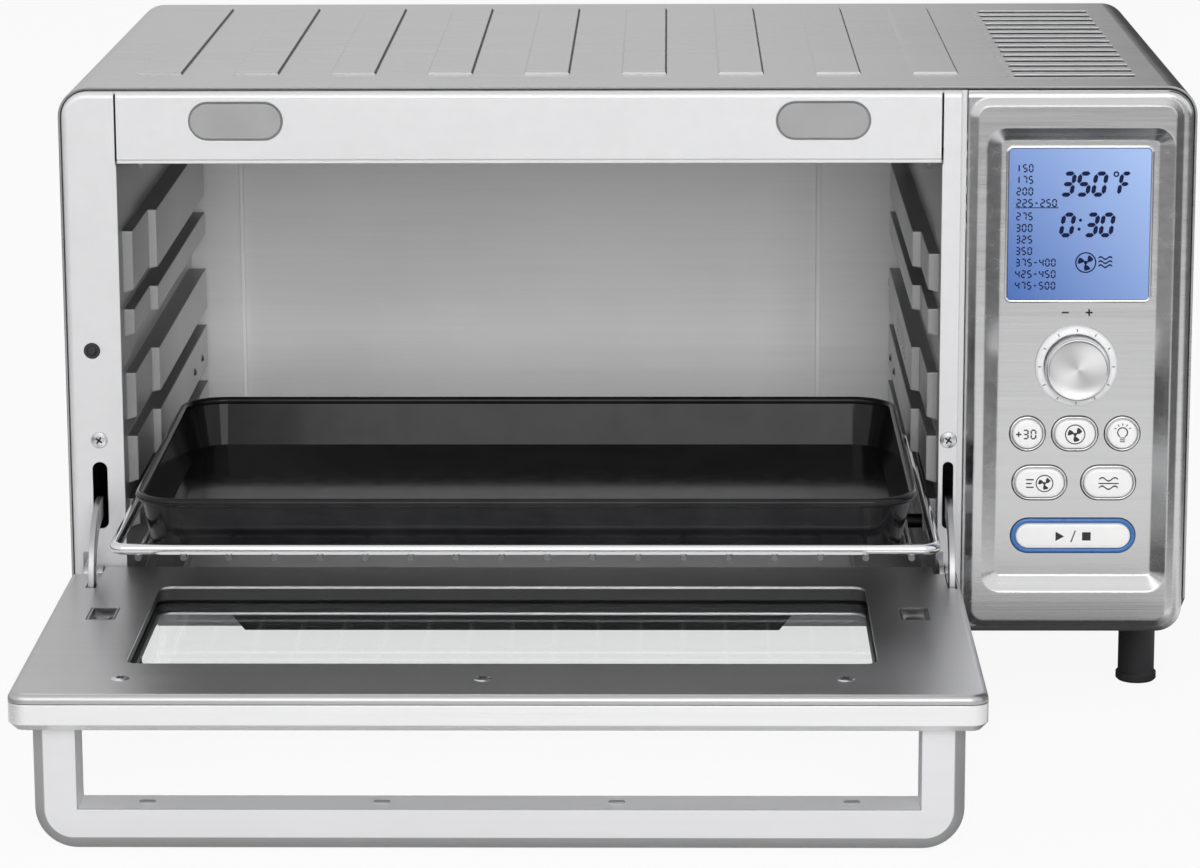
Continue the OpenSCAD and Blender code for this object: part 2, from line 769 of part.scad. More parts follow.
module display_module() {
    over = 3;
    y0 = field_y + front_t + 0.8;
    color([0.10, 0.12, 0.14]) box(
        [panel_mid - lcd_w / 2 - over, y0, front_mid + lcd_dz - lcd_h / 2 - over],
        [panel_mid + lcd_w / 2 + over, board_y, front_mid + lcd_dz + lcd_h / 2 + over]);
}

module dial_ring() {
    inner = knob_r + 0.5;
    color([0.86, 0.86, 0.87]) translate([panel_mid, field_y, dial_z]) rotate([90, 0, 0]) rotate_extrude()
        polygon([[inner, 0], [dial_r, 0], [dial_r, 1.5], [dial_r - 0.8, 2.3], [inner + 0.6, 3], [inner, 2.6]]);
}

module selector_knob() {
    y0 = 0.6;
    color([0.80, 0.80, 0.81]) translate([panel_mid, field_y, dial_z]) rotate([90, 0, 0]) rotate_extrude()
        polygon([[shaft_r, y0], [knob_r, y0], [knob_r - 0.3, knob_l - 1.6], [knob_r - 1.4, knob_l - 0.4],
                 [knob_r - 2.4, knob_l], [knob_r - 3, knob_l - 0.5], [0, knob_l - 0.8], [0, knob_l - 3],
                 [shaft_r, knob_l - 3]]);
}

module selector_shaft() {
    color([0.6, 0.6, 0.62]) bar_y(panel_mid, dial_z, field_y - knob_l + 3, board_y - 1, shaft_r);
}

module encoder() {
    size = 13;
    color([0.25, 0.26, 0.28]) difference() {
        union() {
            box([panel_mid - size / 2, field_back + 3, dial_z - size / 2],
                [panel_mid + size / 2, board_y, dial_z + size / 2]);
            bar_y(panel_mid, dial_z, field_back, field_back + 3, shaft_r + 2);
        }
        bar_y(panel_mid, dial_z, field_back - cut, board_y - 0.6, shaft_r + run_gap);
    }
}

module button_cap(p) {
    plate_xz(button_face, field_back + seam - button_face) button_outline(p, 0);
    plate_xz(field_back + seam, button_flange) button_outline(p, 1.5);
    bar_y(panel_mid + p[0], front_mid + p[1], field_back + seam + button_flange, button_back, 2.5);
}

module timer_button() { color([0.93, 0.93, 0.92]) button_cap(timer_place); }
module convection_button() { color([0.93, 0.93, 0.92]) button_cap(convection_place); }
module lamp_button() { color([0.93, 0.93, 0.92]) button_cap(lamp_place); }
module speed_button() { color([0.93, 0.93, 0.92]) button_cap(speed_place); }
module dual_button() { color([0.93, 0.93, 0.92]) button_cap(dual_place); }
module start_button() { color([0.94, 0.94, 0.93]) button_cap(start_place); }

// Ring that lies on the field round one button
module ring_round(p) {
    plate_xz(field_y - 1.2, 1.2) difference() {
        button_outline(p, button_gap + ring_w);
        button_outline(p, button_gap);
    }
}

module button_rings() {
    color([0.72, 0.72, 0.74]) for (p = small_buttons) ring_round(p);
}

module start_ring() {
    color([0.25, 0.45, 0.75]) ring_round(start_place);
}

module control_board() {
    edge = dish_w / 2 - dish_slope - 4;
    z_low = front_mid + start_place[1] - 12;
    z_high = front_mid + lcd_dz - lcd_h / 2 - 6;
    switch_h = board_y - button_back - button_stroke - seam;
    color([0.10, 0.35, 0.20]) {
        box([panel_mid - edge, board_y, z_low], [panel_mid + edge, board_y + board_t, z_high]);
        for (x = [-1, 1], z = [z_low + 4, z_high - 4])
            bar_y(panel_mid + x * (edge - 4), z, field_back, board_y, 2.5);
        for (p = concat(small_buttons, [start_place]))
            translate([panel_mid + p[0] - 3, board_y - switch_h, front_mid + p[1] - 3])
                cube([6, switch_h + board_t / 2, 6]);
    }
}

// Cavity

// One pressed rack guide on the left wall, from z0 to z1, with a flat upper side.
// It is hollow behind and steps in twice, so that the rack finds its channel.
module rack_guide(z0, z1) {
    step_1 = front_y + 14;
    step_2 = front_y + 74;
    end = cavity_back - 14;
    shallow = 0.55 * rib_d;
    t = liner_t;
    difference() {
        union() {
            guide_bar(z0, z1, step_1, end, 0, shallow);
            guide_bar(z0, z1, step_2, end, 0, rib_d);
        }
        guide_bar(z0 + t, z1 - t, step_1 + t, end - t, -t - cut, shallow - t);
        guide_bar(z0 + t, z1 - t, step_2 + t, end - t, -t - cut, rib_d - t);
    }
}

module guide_bar(z0, z1, y0, y1, x0, d) {
    slope = 1.75;
    translate([cavity_x0, y1, 0]) rotate([90, 0, 0]) linear_extrude(y1 - y0)
        polygon([[x0 - liner_t, z0], [0, z0], [d, z0 + slope], [d, z1], [x0 - liner_t, z1]]);
}

// Left wall with its guides; the right wall is the same, turned over, with a lower top guide
module side_wall(top) {
    low_h = 14;
    difference() {
        union() {
            // the lower front corner is cut back over the front's fold
            plate_yz(cavity_x0 - liner_t, liner_t) {
                translate([liner_front, fold_top])
                    square([cavity_back + liner_t - liner_front, cavity_z + liner_t - fold_top]);
                translate([rim_back + seam, liner_base])
                    square([cavity_back + liner_t - rim_back - seam, fold_top - liner_base]);
            }
            rack_guide(guide_z - low_h, guide_z);
            for (i = [0:rib_n - 2])
                rack_guide(guide_z + i * rib_pitch + (i == 2 ? tall_h : channel_h), guide_z + (i + 1) * rib_pitch);
            rack_guide(guide_z + (rib_n - 1) * rib_pitch + channel_h, top);
        }
        for (y = rod_y, z = [rod_low_z, rod_high_z])
            bar_x(cavity_x0 - liner_t - cut, cavity_x0 + cut, y, z, bush_r + 0.1);
    }
}

module liner_left() {
    color([0.72, 0.72, 0.73]) side_wall(guide_top);
}

module liner_right() {
    slots_n = 7;
    slot_pitch = 12;
    // one row in the second guide, one in the tall channel over it
    band = [guide_z + 1.5 * rib_pitch + channel_h / 2, guide_z + 2 * rib_pitch + tall_h / 2];
    below_lamp = lamp_z - lamp_r - 3;
    color([0.72, 0.72, 0.73]) difference() {
        translate([2 * cavity_mid, 0, 0]) mirror([1, 0, 0]) side_wall(min(guide_top, below_lamp));
        // intake slots in front of the fan
        for (z = band, i = [0:slots_n - 1])
            plate_yz(cavity_x1 - rib_d - cut, rib_d + liner_t + 2 * cut)
                translate([fan_y + (i - (slots_n - 1) / 2) * slot_pitch, z]) rotate(90) stadium(12, 4);
        bar_x(cavity_x1 - rib_d - cut, cavity_x1 + liner_t + cut, lamp_y, lamp_z, lamp_r);
        bar_x(cavity_x1 - cut, cavity_x1 + liner_t + cut, probe_y, probe_z, probe_r + 0.1);
    }
}

module liner_back() {
    bay_x0 = cavity_x0 + 26;
    bay_x1 = cavity_x1 - 45;
    front_line = [[cavity_x0, 0], [bay_x0, 0], [bay_x0 + bay_d, bay_d], [bay_x1 - bay_d, bay_d],
                  [bay_x1, 0], [cavity_x1, 0]];
    last = len(front_line) - 1;
    back_line = [for (i = [0:last]) front_line[last - i] + [0, liner_t]];
    color([0.74, 0.74, 0.75]) translate([0, cavity_back, liner_base])
        linear_extrude(cavity_z - liner_base) polygon(concat(front_line, back_line));
}

module liner_top() {
    color([0.72, 0.72, 0.73]) box([cavity_x0, liner_front, cavity_z],
                                  [cavity_x1, cavity_back + liner_t, cavity_z + liner_t]);
}

// Ledges that carry the crumb tray
module tray_rails() {
    under = 8;
    z1 = tray_z - rail_gap;
    color([0.60, 0.60, 0.61]) {
        plate_xz(liner_front, tray_y1 - liner_front) {
            translate([cavity_x0, z1 - rail_t]) square([tray_x0 + under - cavity_x0, rail_t]);
            translate([cavity_x0, z1 - rail_t]) square([rail_t, rail_h]);
        }
        plate_xz(liner_front, tray_y1 - liner_front) {
            translate([tray_x0 + tray_w - under, z1 - rail_t])
                square([cavity_x1 - tray_x0 - tray_w + under, rail_t]);
            translate([cavity_x1 - rail_t, z1 - rail_t]) square([rail_t, rail_h]);
        }
    }
}

module heating_rod(y, z) {
    bar_x(cavity_x0 - liner_t - rod_over, cavity_x1 + liner_t + rod_over, y, z, rod_r);
}

module upper_elements() {
    color([0.35, 0.34, 0.34]) for (y = rod_y) heating_rod(y, rod_high_z);
}

module lower_elements() {
    color([0.35, 0.34, 0.34]) for (y = rod_y) heating_rod(y, rod_low_z);
}

// Ceramic bush that carries a heating rod in the wall
module insulator(y, z) {
    difference() {
        union() {
            bar_x(cavity_x0 - liner_t - bush_flange_t, cavity_x0 - liner_t, y, z, bush_flange_r);
            bar_x(cavity_x0 - liner_t, cavity_x0 + 2, y, z, bush_r);
        }
        bar_x(cavity_x0 - liner_t - bush_flange_t - cut, cavity_x0 + 2 + cut, y, z, rod_r + run_gap);
    }
}

module element_insulators() {
    color([0.90, 0.88, 0.83]) both_sides() for (y = rod_y, z = [rod_low_z, rod_high_z]) insulator(y, z);
}

module lamp_cover() {
    // glass cup that bulges into the cavity, with a flange behind the wall
    depth = 9;
    wall = 1.5;
    color([0.85, 0.90, 0.92]) translate([cavity_x1 + liner_t, lamp_y, lamp_z]) rotate([0, -90, 0])
        rotate_extrude() polygon([
            [lamp_r - 0.3 - wall, -2], [lamp_r + 3, -2], [lamp_r + 3, 0], [lamp_r - 0.3, 0],
            [lamp_r - 1, depth * 0.6], [lamp_r - 4, depth * 0.9], [0, depth],
            [0, depth - wall], [lamp_r - 4.5, depth * 0.9 - wall], [lamp_r - 1 - wall, depth * 0.5]]);
}

module lamp_socket() {
    x0 = cavity_x1 + liner_t + 2;
    color([0.88, 0.86, 0.80]) translate([x0, lamp_y, lamp_z]) rotate([0, 90, 0]) rotate_extrude()
        polygon([[0, 8], [7, 8], [7, 0], [lamp_r + 3, 0], [lamp_r + 3, 3], [11, 4], [9, 20], [0, 20]]);
}

module lamp_bulb() {
    x0 = cavity_x1 + liner_t + 2;
    color([0.95, 0.93, 0.85]) translate([x0, lamp_y, lamp_z]) rotate([0, 90, 0]) rotate_extrude()
        polygon([[0, -6], [2.6, -5.4], [4.6, -3.9], [5.8, -1.5], [6, 0], [5.8, 1.5], [5, 3.3], [5, 8], [0, 8]]);
}

module temperature_probe() {
    color([0.75, 0.75, 0.77]) {
        bar_x(cavity_x1 - probe_in, cavity_x1 + liner_t, probe_y, probe_z, probe_r);
        bar_x(cavity_x1 + liner_t, cavity_x1 + liner_t + 3, probe_y, probe_z, probe_r + 3);
    }
}

// Fan

module fan_wheel() {
    blades = 10;
    hub_r = 9;
    disc_t = 1.2;
    color([0.66, 0.66, 0.68]) difference() {
        union() {
            bar_x(fan_x0, fan_x0 + fan_depth, fan_y, fan_z, hub_r);
            bar_x(fan_x0 + fan_depth - disc_t, fan_x0 + fan_depth, fan_y, fan_z, fan_r);
            for (i = [0:blades - 1])
                translate([fan_x0, fan_y, fan_z]) rotate([i * 360 / blades, 0, 0])
                    translate([0, hub_r - 2, -0.6]) cube([fan_depth - disc_t / 2, fan_r - hub_r, 1.2]);
        }
        bar_x(fan_x0 - cut, fan_x0 + fan_depth + cut, fan_y, fan_z, fan_shaft_r);
    }
}

module fan_shaft() {
    color([0.60, 0.60, 0.62]) bar_x(fan_x0 - 1, motor_x0 + shaft_in, fan_y, fan_z, fan_shaft_r);
}

module fan_motor() {
    color([0.45, 0.45, 0.47]) difference() {
        union() {
            bar_x(motor_x0, motor_x0 + motor_l, fan_y, fan_z, motor_r);
            bar_x(motor_x0 + motor_l, motor_x0 + motor_l + 5, fan_y, fan_z, motor_r * 0.75);
        }
        bar_x(motor_x0 - cut, motor_x0 + motor_bore, fan_y, fan_z, fan_shaft_r + run_gap);
    }
}

module motor_bracket() {
    x0 = motor_x0 - bracket_t;
    side = 2 * (bracket_reach + bracket_margin);
    color([0.58, 0.58, 0.60]) {
        difference() {
            plate_yz(x0, bracket_t) translate([fan_y, fan_z]) rounded_rect(side, side, 6);
            bar_x(x0 - cut, x0 + bracket_t + cut, fan_y, fan_z, fan_shaft_r + 3);
        }
        for (y = [-1, 1], z = [-1, 1])
            bar_x(cavity_x1 + liner_t, x0, fan_y + y * bracket_reach, fan_z + z * bracket_reach, 3);
    }
}

// Door switch

module switch_bush() {
    y1 = front_y + 14;
    color([0.09, 0.09, 0.10]) difference() {
        union() {
            bar_y(switch_x, switch_z, front_y - 0.2, y1, switch_r);
            bar_y(switch_x, switch_z, front_y + front_t, front_y + front_t + 2, switch_r + 2.5);
        }
        bar_y(switch_x, switch_z, front_y - cut, y1 - 1, plunger_r + run_gap);
    }
}

module switch_plunger() {
    color([0.04, 0.04, 0.045]) translate([switch_x, front_y + 10, switch_z]) rotate([90, 0, 0])
        rotate_extrude() polygon([[0, 0], [plunger_r, 0], [plunger_r, 10.2], [plunger_r - 0.6, 10.8], [0, 10.8]]);
}

// Hinges

// Tab on the front that carries a hinge pin; its outline is drawn in Y and Z
module hinge_tab(x) {
    nose = front_y - axis_y;
    difference() {
        union() {
            plate_yz(x - tab_t / 2, tab_t) {
                translate([axis_y, axis_z]) circle(nose);
                translate([axis_y, axis_z - nose]) square([front_y - axis_y, 2 * nose]);
            }
            box([x - 2.4, front_y - 1, axis_z - 10], [x + 1.2, front_y, axis_z + 10]);
        }
        bar_x(x - tab_t, x + tab_t, axis_y, axis_z, pin_r);
    }
}

module hinge_brackets() {
    color([0.70, 0.70, 0.72]) for (x = tab_x) hinge_tab(x);
}

module hinge_pins() {
    color([0.60, 0.60, 0.62]) for (i = [0, 1])
        bar_x(min(tab_x[i] - tab_t / 2, arm_x[i]), max(tab_x[i], arm_x[i]) + arm_t / 2 + 0.5,
              axis_y, axis_z, pin_r);
}

// Curved arm that turns about the pin and runs into the front through its slot
module hinge_arm(x) {
    eye_r = 5;
    a0 = 0;
    a1 = 101;
    outer = arm_r + arm_w / 2;
    far = 3 * arm_r;
    difference() {
        plate_yz(x - arm_t / 2, arm_t) translate([axis_y, axis_z]) {
            circle(eye_r);
            translate([-arm_bar, -7]) square([arm_bar, 9]);
            intersection() {
                difference() {
                    circle(outer);
                    circle(outer - arm_w);
                }
                polygon([[0, 0], far * [-cos(a0), sin(a0)], far * [-cos(45), sin(45)],
                         far * [-cos(75), sin(75)], far * [-cos(a1), sin(a1)]]);
            }
        }
        bar_x(x - arm_t, x + arm_t, axis_y, axis_z, pin_r + run_gap);
    }
}

module hinge_arms() {
    color([0.66, 0.66, 0.68]) for (x = arm_x) hinge_arm(x);
}

// Room in the door's rear edge for the hinge tabs and arms
module hinge_room() {
    for (i = [0, 1]) {
        x_far = i == 0 ? door_mid - door_w / 2 - cut : tab_x[i] - 4.5;
        x_near = max(tab_x[i] + 4.2, arm_x[i]);
        box([x_far, front_y - hinge_reach, door_under - cut], [x_near, front_y, door_z + cut]);
        box([arm_x[i] - arm_t / 2 - 1, axis_y - arm_bar - 2, door_under + door_sheet + seam],
            [arm_x[i] + arm_t / 2 + 1, front_y, door_z + cut]);
    }
}

// Door

// Section of the outer panel's wall, with the chamfer round its outer face
module door_wall_section() {
    h = door_t - lid_h - seam;
    c = door_chamfer;
    t = door_sheet;
    in = door_r - c - t;
    polygon([[door_r, h], [door_r, c], [door_r - c, 0], [in, 0], [in, t], [door_r - c - t / 2, t],
             [door_r - t, c + t / 2], [door_r - t, h]]);
}

module door_outer_panel() {
    inset = 2 * (door_chamfer + door_sheet);
    color([0.87, 0.87, 0.88]) difference() {
        union() {
            translate([door_mid, door_mid_y, door_under]) {
                sweep_rect(door_w, door_l, door_r) door_wall_section();
                linear_extrude(door_sheet)
                    rounded_rect(door_w - inset, door_l - inset, door_r - inset / 2);
            }
        }
        translate([door_mid, window_y, door_under - cut]) linear_extrude(door_sheet + 2 * cut)
            rounded_rect(window_w, window_h, 6);
        hinge_room();
    }
}

// Section of the inner sheet's turned edge, below the door's inner face
module lid_section() {
    flat = door_r - lid_r;
    intersection() {
        translate([flat, -lid_h]) square([lid_r, lid_h]);
        difference() {
            union() {
                translate([flat, -lid_r]) circle(lid_r);
                translate([flat, -lid_h]) square([lid_r, lid_h - lid_r]);
            }
            translate([flat, -lid_r]) circle(lid_r - door_sheet);
            translate([flat - cut, -lid_h - cut]) square([lid_r - door_sheet + cut, lid_h - lid_r + cut]);
        }
    }
}

module door_inner_panel() {
    color([0.66, 0.66, 0.67]) difference() {
        translate([door_mid, door_mid_y, door_z]) {
            sweep_rect(door_w, door_l, door_r) lid_section();
            translate([0, 0, -door_sheet]) linear_extrude(door_sheet)
                rounded_rect(door_w - 2 * lid_r, door_l - 2 * lid_r, door_r - lid_r);
        }
        translate([door_mid, window_y, door_z - door_sheet - cut]) linear_extrude(door_sheet + 2 * cut)
            rounded_rect(window_w, window_h, 6);
        hinge_room();
        for (p = door_screw_places()) translate([p[0], p[1], door_z - 2 * door_sheet])
            cylinder(h = 3 * door_sheet, r = 1.6);
        for (x = hook_x) translate([x, hook_y, door_z - 2 * door_sheet])
            linear_extrude(3 * door_sheet) rounded_rect(hook_w, hook_l, 1.5);
    }
}

module door_glass() {
    color([0.80, 0.85, 0.86, 0.4]) translate([door_mid, window_y, glass_z]) linear_extrude(glass_t)
        rounded_rect(window_w + 2 * glass_hold, window_h + 2 * glass_hold, 6);
}

// Black seal that grips the glass all round, between the door's two sheets
module glass_gasket() {
    z0 = door_under + door_sheet;
    lip = 2;
    wall = glass_hold + 3;
    color([0.05, 0.05, 0.055]) translate([door_mid, window_y, 0]) difference() {
        translate([0, 0, z0]) linear_extrude(door_z - door_sheet - z0) difference() {
            rounded_rect(window_w + 2 * wall, window_h + 2 * wall, 8);
            rounded_rect(window_w + lip, window_h + lip, 6);
        }
        translate([0, 0, glass_z]) linear_extrude(glass_t)
            rounded_rect(window_w + 2 * glass_hold, window_h + 2 * glass_hold, 6);
    }
}

// Section of the handle's bar from x = in outwards; its outer edges are chamfered, front and back
module handle_section(in) {
    c = handle_chamfer;
    polygon([[in, 0], [handle_r - c, 0], [handle_r, c], [handle_r, handle_d - c], [handle_r - c, handle_d],
             [in, handle_d]]);
}

// Straight run of the handle's bar, along Y
module handle_run(l) {
    translate([0, l, 0]) rotate([90, 0, 0]) linear_extrude(l) handle_section(handle_r - handle_bar);
}

// Places that follow from the handle
handle_y1 = front_y - door_reach + handle_inset + handle_d;
handle_low = table_gap;
handle_arc_z = handle_low + handle_r;

module door_handle() {
    color([0.82, 0.82, 0.83]) translate([door_mid, handle_y1, handle_arc_z]) rotate([90, 0, 0]) {
        half = handle_w / 2 - handle_r;
        for (s = [0, 1]) mirror([s, 0, 0]) {
            translate([half, 0, 0]) rotate([0, 0, -90]) rotate_extrude(angle = 90)
                handle_section(max(handle_r - handle_bar, 0));
            translate([half, 0, 0]) handle_run(door_under - handle_arc_z);
        }
        translate([-half, 0, 0]) rotate([0, 0, -90]) handle_run(2 * half);
    }
}

module handle_plugs() {
    pitch = 0.28 * (handle_w - 2 * handle_bar);
    top = handle_low + handle_bar;
    color([0.35, 0.35, 0.36]) for (i = [0:3])
        translate([door_mid + (i - 1.5) * pitch, handle_y1 - handle_d / 2, top])
            linear_extrude(0.5) stadium(7, 3.5);
}

// Screws that hold the door's inner sheet
function door_screw_places() = [for (x = [-1, 0, 1])
    [door_mid - screw_shift + x * (window_w / 2 - 8), handle_y1 - 4]];
screw_shift = 7;

module door_screws() {
    color([0.78, 0.78, 0.80]) for (p = door_screw_places()) translate([p[0], p[1], door_z]) rotate_extrude()
        polygon([[0, -5], [1.5, -5], [1.5, 0], [screw_r, 0], [screw_r - 0.5, 0.4], [screw_r / 2, 0.6], [0, 0.6]]);
}

// Places of the catches that draw the rack out
hook_w = 13;
hook_l = 22;
hook_side = 24.3;
hook_x = [door_mid - door_w / 2 + hook_side, door_mid + door_w / 2 - hook_side];
hook_y = front_y - 91;

// Catches sunk into the door's inner sheet: a cup with a flange under the sheet, and a screw
module rack_hooks() {
    cup_w = hook_w - 2 * seam;
    cup_l = hook_l - 2 * seam;
    deep = 4;
    wall = 1;
    color([0.74, 0.74, 0.76]) for (x = hook_x) translate([x, hook_y, door_z]) {
        translate([0, 0, -deep]) linear_extrude(deep) difference() {
            rounded_rect(cup_w, cup_l, 1.2);
            square([cup_w - 2 * wall, cup_l - 2 * wall], center = true);
        }
        translate([0, 0, -deep - wall]) linear_extrude(wall + 0.5) rounded_rect(cup_w, cup_l, 1.2);
        translate([0, 0, -door_sheet - wall]) linear_extrude(wall) difference() {
            rounded_rect(hook_w + 4, hook_l + 4, 2);
            rounded_rect(cup_w - 0.5, cup_l - 0.5, 1);
        }
        translate([0, 0, -deep]) rotate_extrude()
            polygon([[0, 0], [screw_r, 0], [screw_r, 1.6], [screw_r - 0.8, 2.3], [0, 2.6]]);
    }
}

// Rack, pan and tray

module wire_rack() {
    inner = rack_w - 2 * wire_r;
    thin_span = inner - 22;
    corner = 8;
    color([0.80, 0.80, 0.82]) {
        translate([cavity_mid, rack_y0 + rack_d / 2, rack_z]) sweep_rect(rack_w, rack_d, corner)
            translate([corner - wire_r, 0]) circle(wire_r);
        for (i = [0:thin_n - 1])
            bar_y(cavity_mid + thin_span * (i / (thin_n - 1) - 0.5), thin_z,
                  rack_y0 + 0.8, rack_y0 + rack_d - 0.8, thin_r);
        for (f = [0.33, 0.67])
            bar_x(cavity_mid - thin_span / 2 - 2, cavity_mid + thin_span / 2 + 2,
                  rack_y0 + rack_d * f, stay_z, wire_r);
    }
}

module baking_pan() {
    foot = bead_r + pan_draft + pan_t;
    neck = bead_r;
    bead_in = pan_r - bead_r;
    color([0.03, 0.03, 0.035]) translate([cavity_mid, pan_mid_y, pan_z]) {
        sweep_rect(pan_w, pan_d, pan_r) {
            polygon([[pan_r - foot - 1, 0], [pan_r - foot + pan_t, 0], [bead_in, pan_h - bead_r],
                     [bead_in - pan_t, pan_h - bead_r], [pan_r - foot, pan_t], [pan_r - foot - 1, pan_t]]);
            translate([bead_in, pan_h - bead_r]) circle(bead_r);
        }
        linear_extrude(pan_t)
            rounded_rect(pan_w - 2 * foot - 2, pan_d - 2 * foot - 2, pan_r - foot - 1);
    }
}

module crumb_tray() {
    lip_y = front_y - 1.6;
    color([0.66, 0.66, 0.67]) {
        box([tray_x0, lip_y, tray_z], [tray_x0 + tray_w, tray_y1, tray_z + tray_t]);
        for (x = [tray_x0, tray_x0 + tray_w - tray_t])
            box([x, lip_y, tray_z], [x + tray_t, tray_y1, tray_z + tray_h]);
        box([tray_x0, tray_y1 - tray_t, tray_z], [tray_x0 + tray_w, tray_y1, tray_z + tray_h]);
        box([tray_x0 - 3, lip_y, front_base + 1], [tray_x0 + tray_w + 3, lip_y + 1.2, tray_top]);
    }
}

module tray_grip() {
    slope = 8;
    low = front_base + 2;
    high = tray_top - 2;
    y1 = front_y - 1.6;
    color([0.05, 0.05, 0.055]) plate_xz(y1 - grip_d, grip_d)
        polygon([[tray_mid - grip_w / 2, high], [tray_mid - grip_w / 2 + slope, low],
                 [tray_mid + grip_w / 2 - slope, low], [tray_mid + grip_w / 2, high]]);
}

outer_wrapper();
back_panel();
bottom_pan();
front_frame();
header_panel();
header_bumpers();
control_panel();
liner_left();
liner_right();
liner_back();
liner_top();
tray_rails();
upper_elements();
lower_elements();
element_insulators();
lamp_socket();
lamp_bulb();
lamp_cover();
fan_motor();
motor_bracket();
temperature_probe();
control_board();
display_module();
display_window();
dial_ring();
encoder();
button_rings();
start_ring();
feet();
hinge_brackets();
hinge_pins();
switch_bush();
frame_screws();
case_screws();
cord_gland();
rear_spacers();
door_outer_panel();
door_inner_panel();
door_glass();
glass_gasket();
door_handle();
handle_plugs();
hinge_arms();
rack_hooks();
door_screws();
wire_rack();
baking_pan();
crumb_tray();
tray_grip();
selector_knob();
selector_shaft();
fan_wheel();
fan_shaft();
switch_plunger();
timer_button();
convection_button();
lamp_button();
speed_button();
dual_button();
start_button();
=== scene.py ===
# Countertop convection oven, dressed for a plain catalogue view with its door open.
# Lengths are in metres; sizes of small pieces are written in millimetres and scaled by MM.
import math

import bmesh
import bpy
from mathutils import Matrix, Vector


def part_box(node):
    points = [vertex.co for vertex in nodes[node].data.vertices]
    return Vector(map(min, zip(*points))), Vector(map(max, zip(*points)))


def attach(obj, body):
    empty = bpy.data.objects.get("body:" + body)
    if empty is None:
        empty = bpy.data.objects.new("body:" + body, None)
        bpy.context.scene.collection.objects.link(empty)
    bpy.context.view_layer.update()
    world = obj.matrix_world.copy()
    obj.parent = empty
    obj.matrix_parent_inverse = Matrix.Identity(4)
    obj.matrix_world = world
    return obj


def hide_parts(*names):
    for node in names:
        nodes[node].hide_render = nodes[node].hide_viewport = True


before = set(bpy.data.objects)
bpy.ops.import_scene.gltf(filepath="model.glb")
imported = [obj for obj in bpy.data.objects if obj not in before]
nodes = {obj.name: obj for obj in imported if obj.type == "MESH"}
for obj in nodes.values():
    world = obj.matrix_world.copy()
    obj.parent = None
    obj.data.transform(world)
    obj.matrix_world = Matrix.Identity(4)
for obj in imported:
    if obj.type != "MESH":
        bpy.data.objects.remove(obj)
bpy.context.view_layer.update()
MM = 0.001

# Room: a pale floor without end, lit by large soft boxes, as for a catalogue picture.
# The floor looks nearly white to the eye, and still takes a faint shadow from the oven.
scene = bpy.context.scene
scene.view_settings.view_transform = "Standard"


def put(tree, kind, inputs=None, **settings):
    # adds a node; a socket among the inputs is linked, and any other value is set
    made = tree.nodes.new(kind)
    for key, value in settings.items():
        setattr(made, key, value)
    for key, value in (inputs or {}).items():
        if isinstance(value, bpy.types.NodeSocket):
            tree.links.new(value, made.inputs[key])
        else:
            made.inputs[key].default_value = value
    return made


def maths(tree, operation, *values):
    return put(tree, "ShaderNodeMath", dict(enumerate(values)), operation=operation).outputs[0]


def split(tree, vector):
    return put(tree, "ShaderNodeSeparateXYZ", {"Vector": vector}).outputs


def spread_over(tree, value, ends, tones):
    # carries a value from one pair of ends to another, and holds it at them
    return put(tree, "ShaderNodeMapRange", {"Value": value, "From Min": ends[0], "From Max": ends[1],
                                            "To Min": tones[0], "To Max": tones[1]}).outputs["Result"]


studio = bpy.data.worlds.new("studio")
studio.use_nodes = True
scene.world = studio
sky = studio.node_tree
sky.nodes.clear()
sky_way = split(sky, put(sky, "ShaderNodeTexCoord").outputs["Generated"])
dim_back = spread_over(sky, sky_way["Y"], (-0.4, 0.9), (1.0, 0.72))
behind = spread_over(sky, sky_way["Y"], (-0.1, 0.3), (0.0, 1.0))


def ramp(tree, value, stops):
    # each stop is a place with a tone or a colour
    made = put(tree, "ShaderNodeValToRGB", {"Fac": value})
    marks = made.color_ramp.elements
    while len(marks) < len(stops):
        marks.new(1.0)
    for mark, (place, tone) in zip(marks, stops):
        mark.position = place
        mark.color = (*tone, 1) if isinstance(tone, tuple) else (tone, tone, tone, 1)
    return made.outputs["Color"]


dim_right = ramp(sky, maths(sky, "MULTIPLY", sky_way["X"], behind),
                 ((0.02, 1.0), (0.08, 0.78), (0.15, 0.07), (0.50, 0.10), (0.90, 0.50)))
sweep = maths(sky, "MULTIPLY", dim_back, dim_right)


def looked_at(tree, mirrors=True):
    # 1 for what the eye meets straight or through glass and, if asked, in a mirror
    ray = put(tree, "ShaderNodeLightPath").outputs
    straight = maths(tree, "MAXIMUM", ray["Is Camera Ray"], ray["Is Transmission Ray"])
    return maths(tree, "MAXIMUM", straight, ray["Is Glossy Ray"]) if mirrors else straight


def blend(tree, share, first, second):
    return put(tree, "ShaderNodeMix", {0: share, 2: first, 3: second}).outputs[0]


# only light and mirrors meet the sweep; the backdrop itself is seen white
backdrop_tone, ambient_level = 0.955, 0.42
sky_tone = blend(sky, looked_at(sky, mirrors=False), sweep, backdrop_tone)
sky_level = spread_over(sky, looked_at(sky), (0.0, 1.0), (ambient_level, 1.0))
haze = put(sky, "ShaderNodeBackground", {"Color": sky_tone, "Strength": sky_level})
put(sky, "ShaderNodeOutputWorld", {"Surface": haze.outputs[0]})


def new_material(name):
    material = bpy.data.materials.new(name)
    material.use_nodes = True
    material.node_tree.nodes.clear()
    return material, material.node_tree


def object_place(tree):
    return put(tree, "ShaderNodeTexCoord").outputs["Object"]


def noise(tree, place, scale, detail, roughness=0.5):
    return put(tree, "ShaderNodeTexNoise", {"Vector": place, "Scale": scale, "Detail": detail,
                                            "Roughness": roughness}).outputs[0]


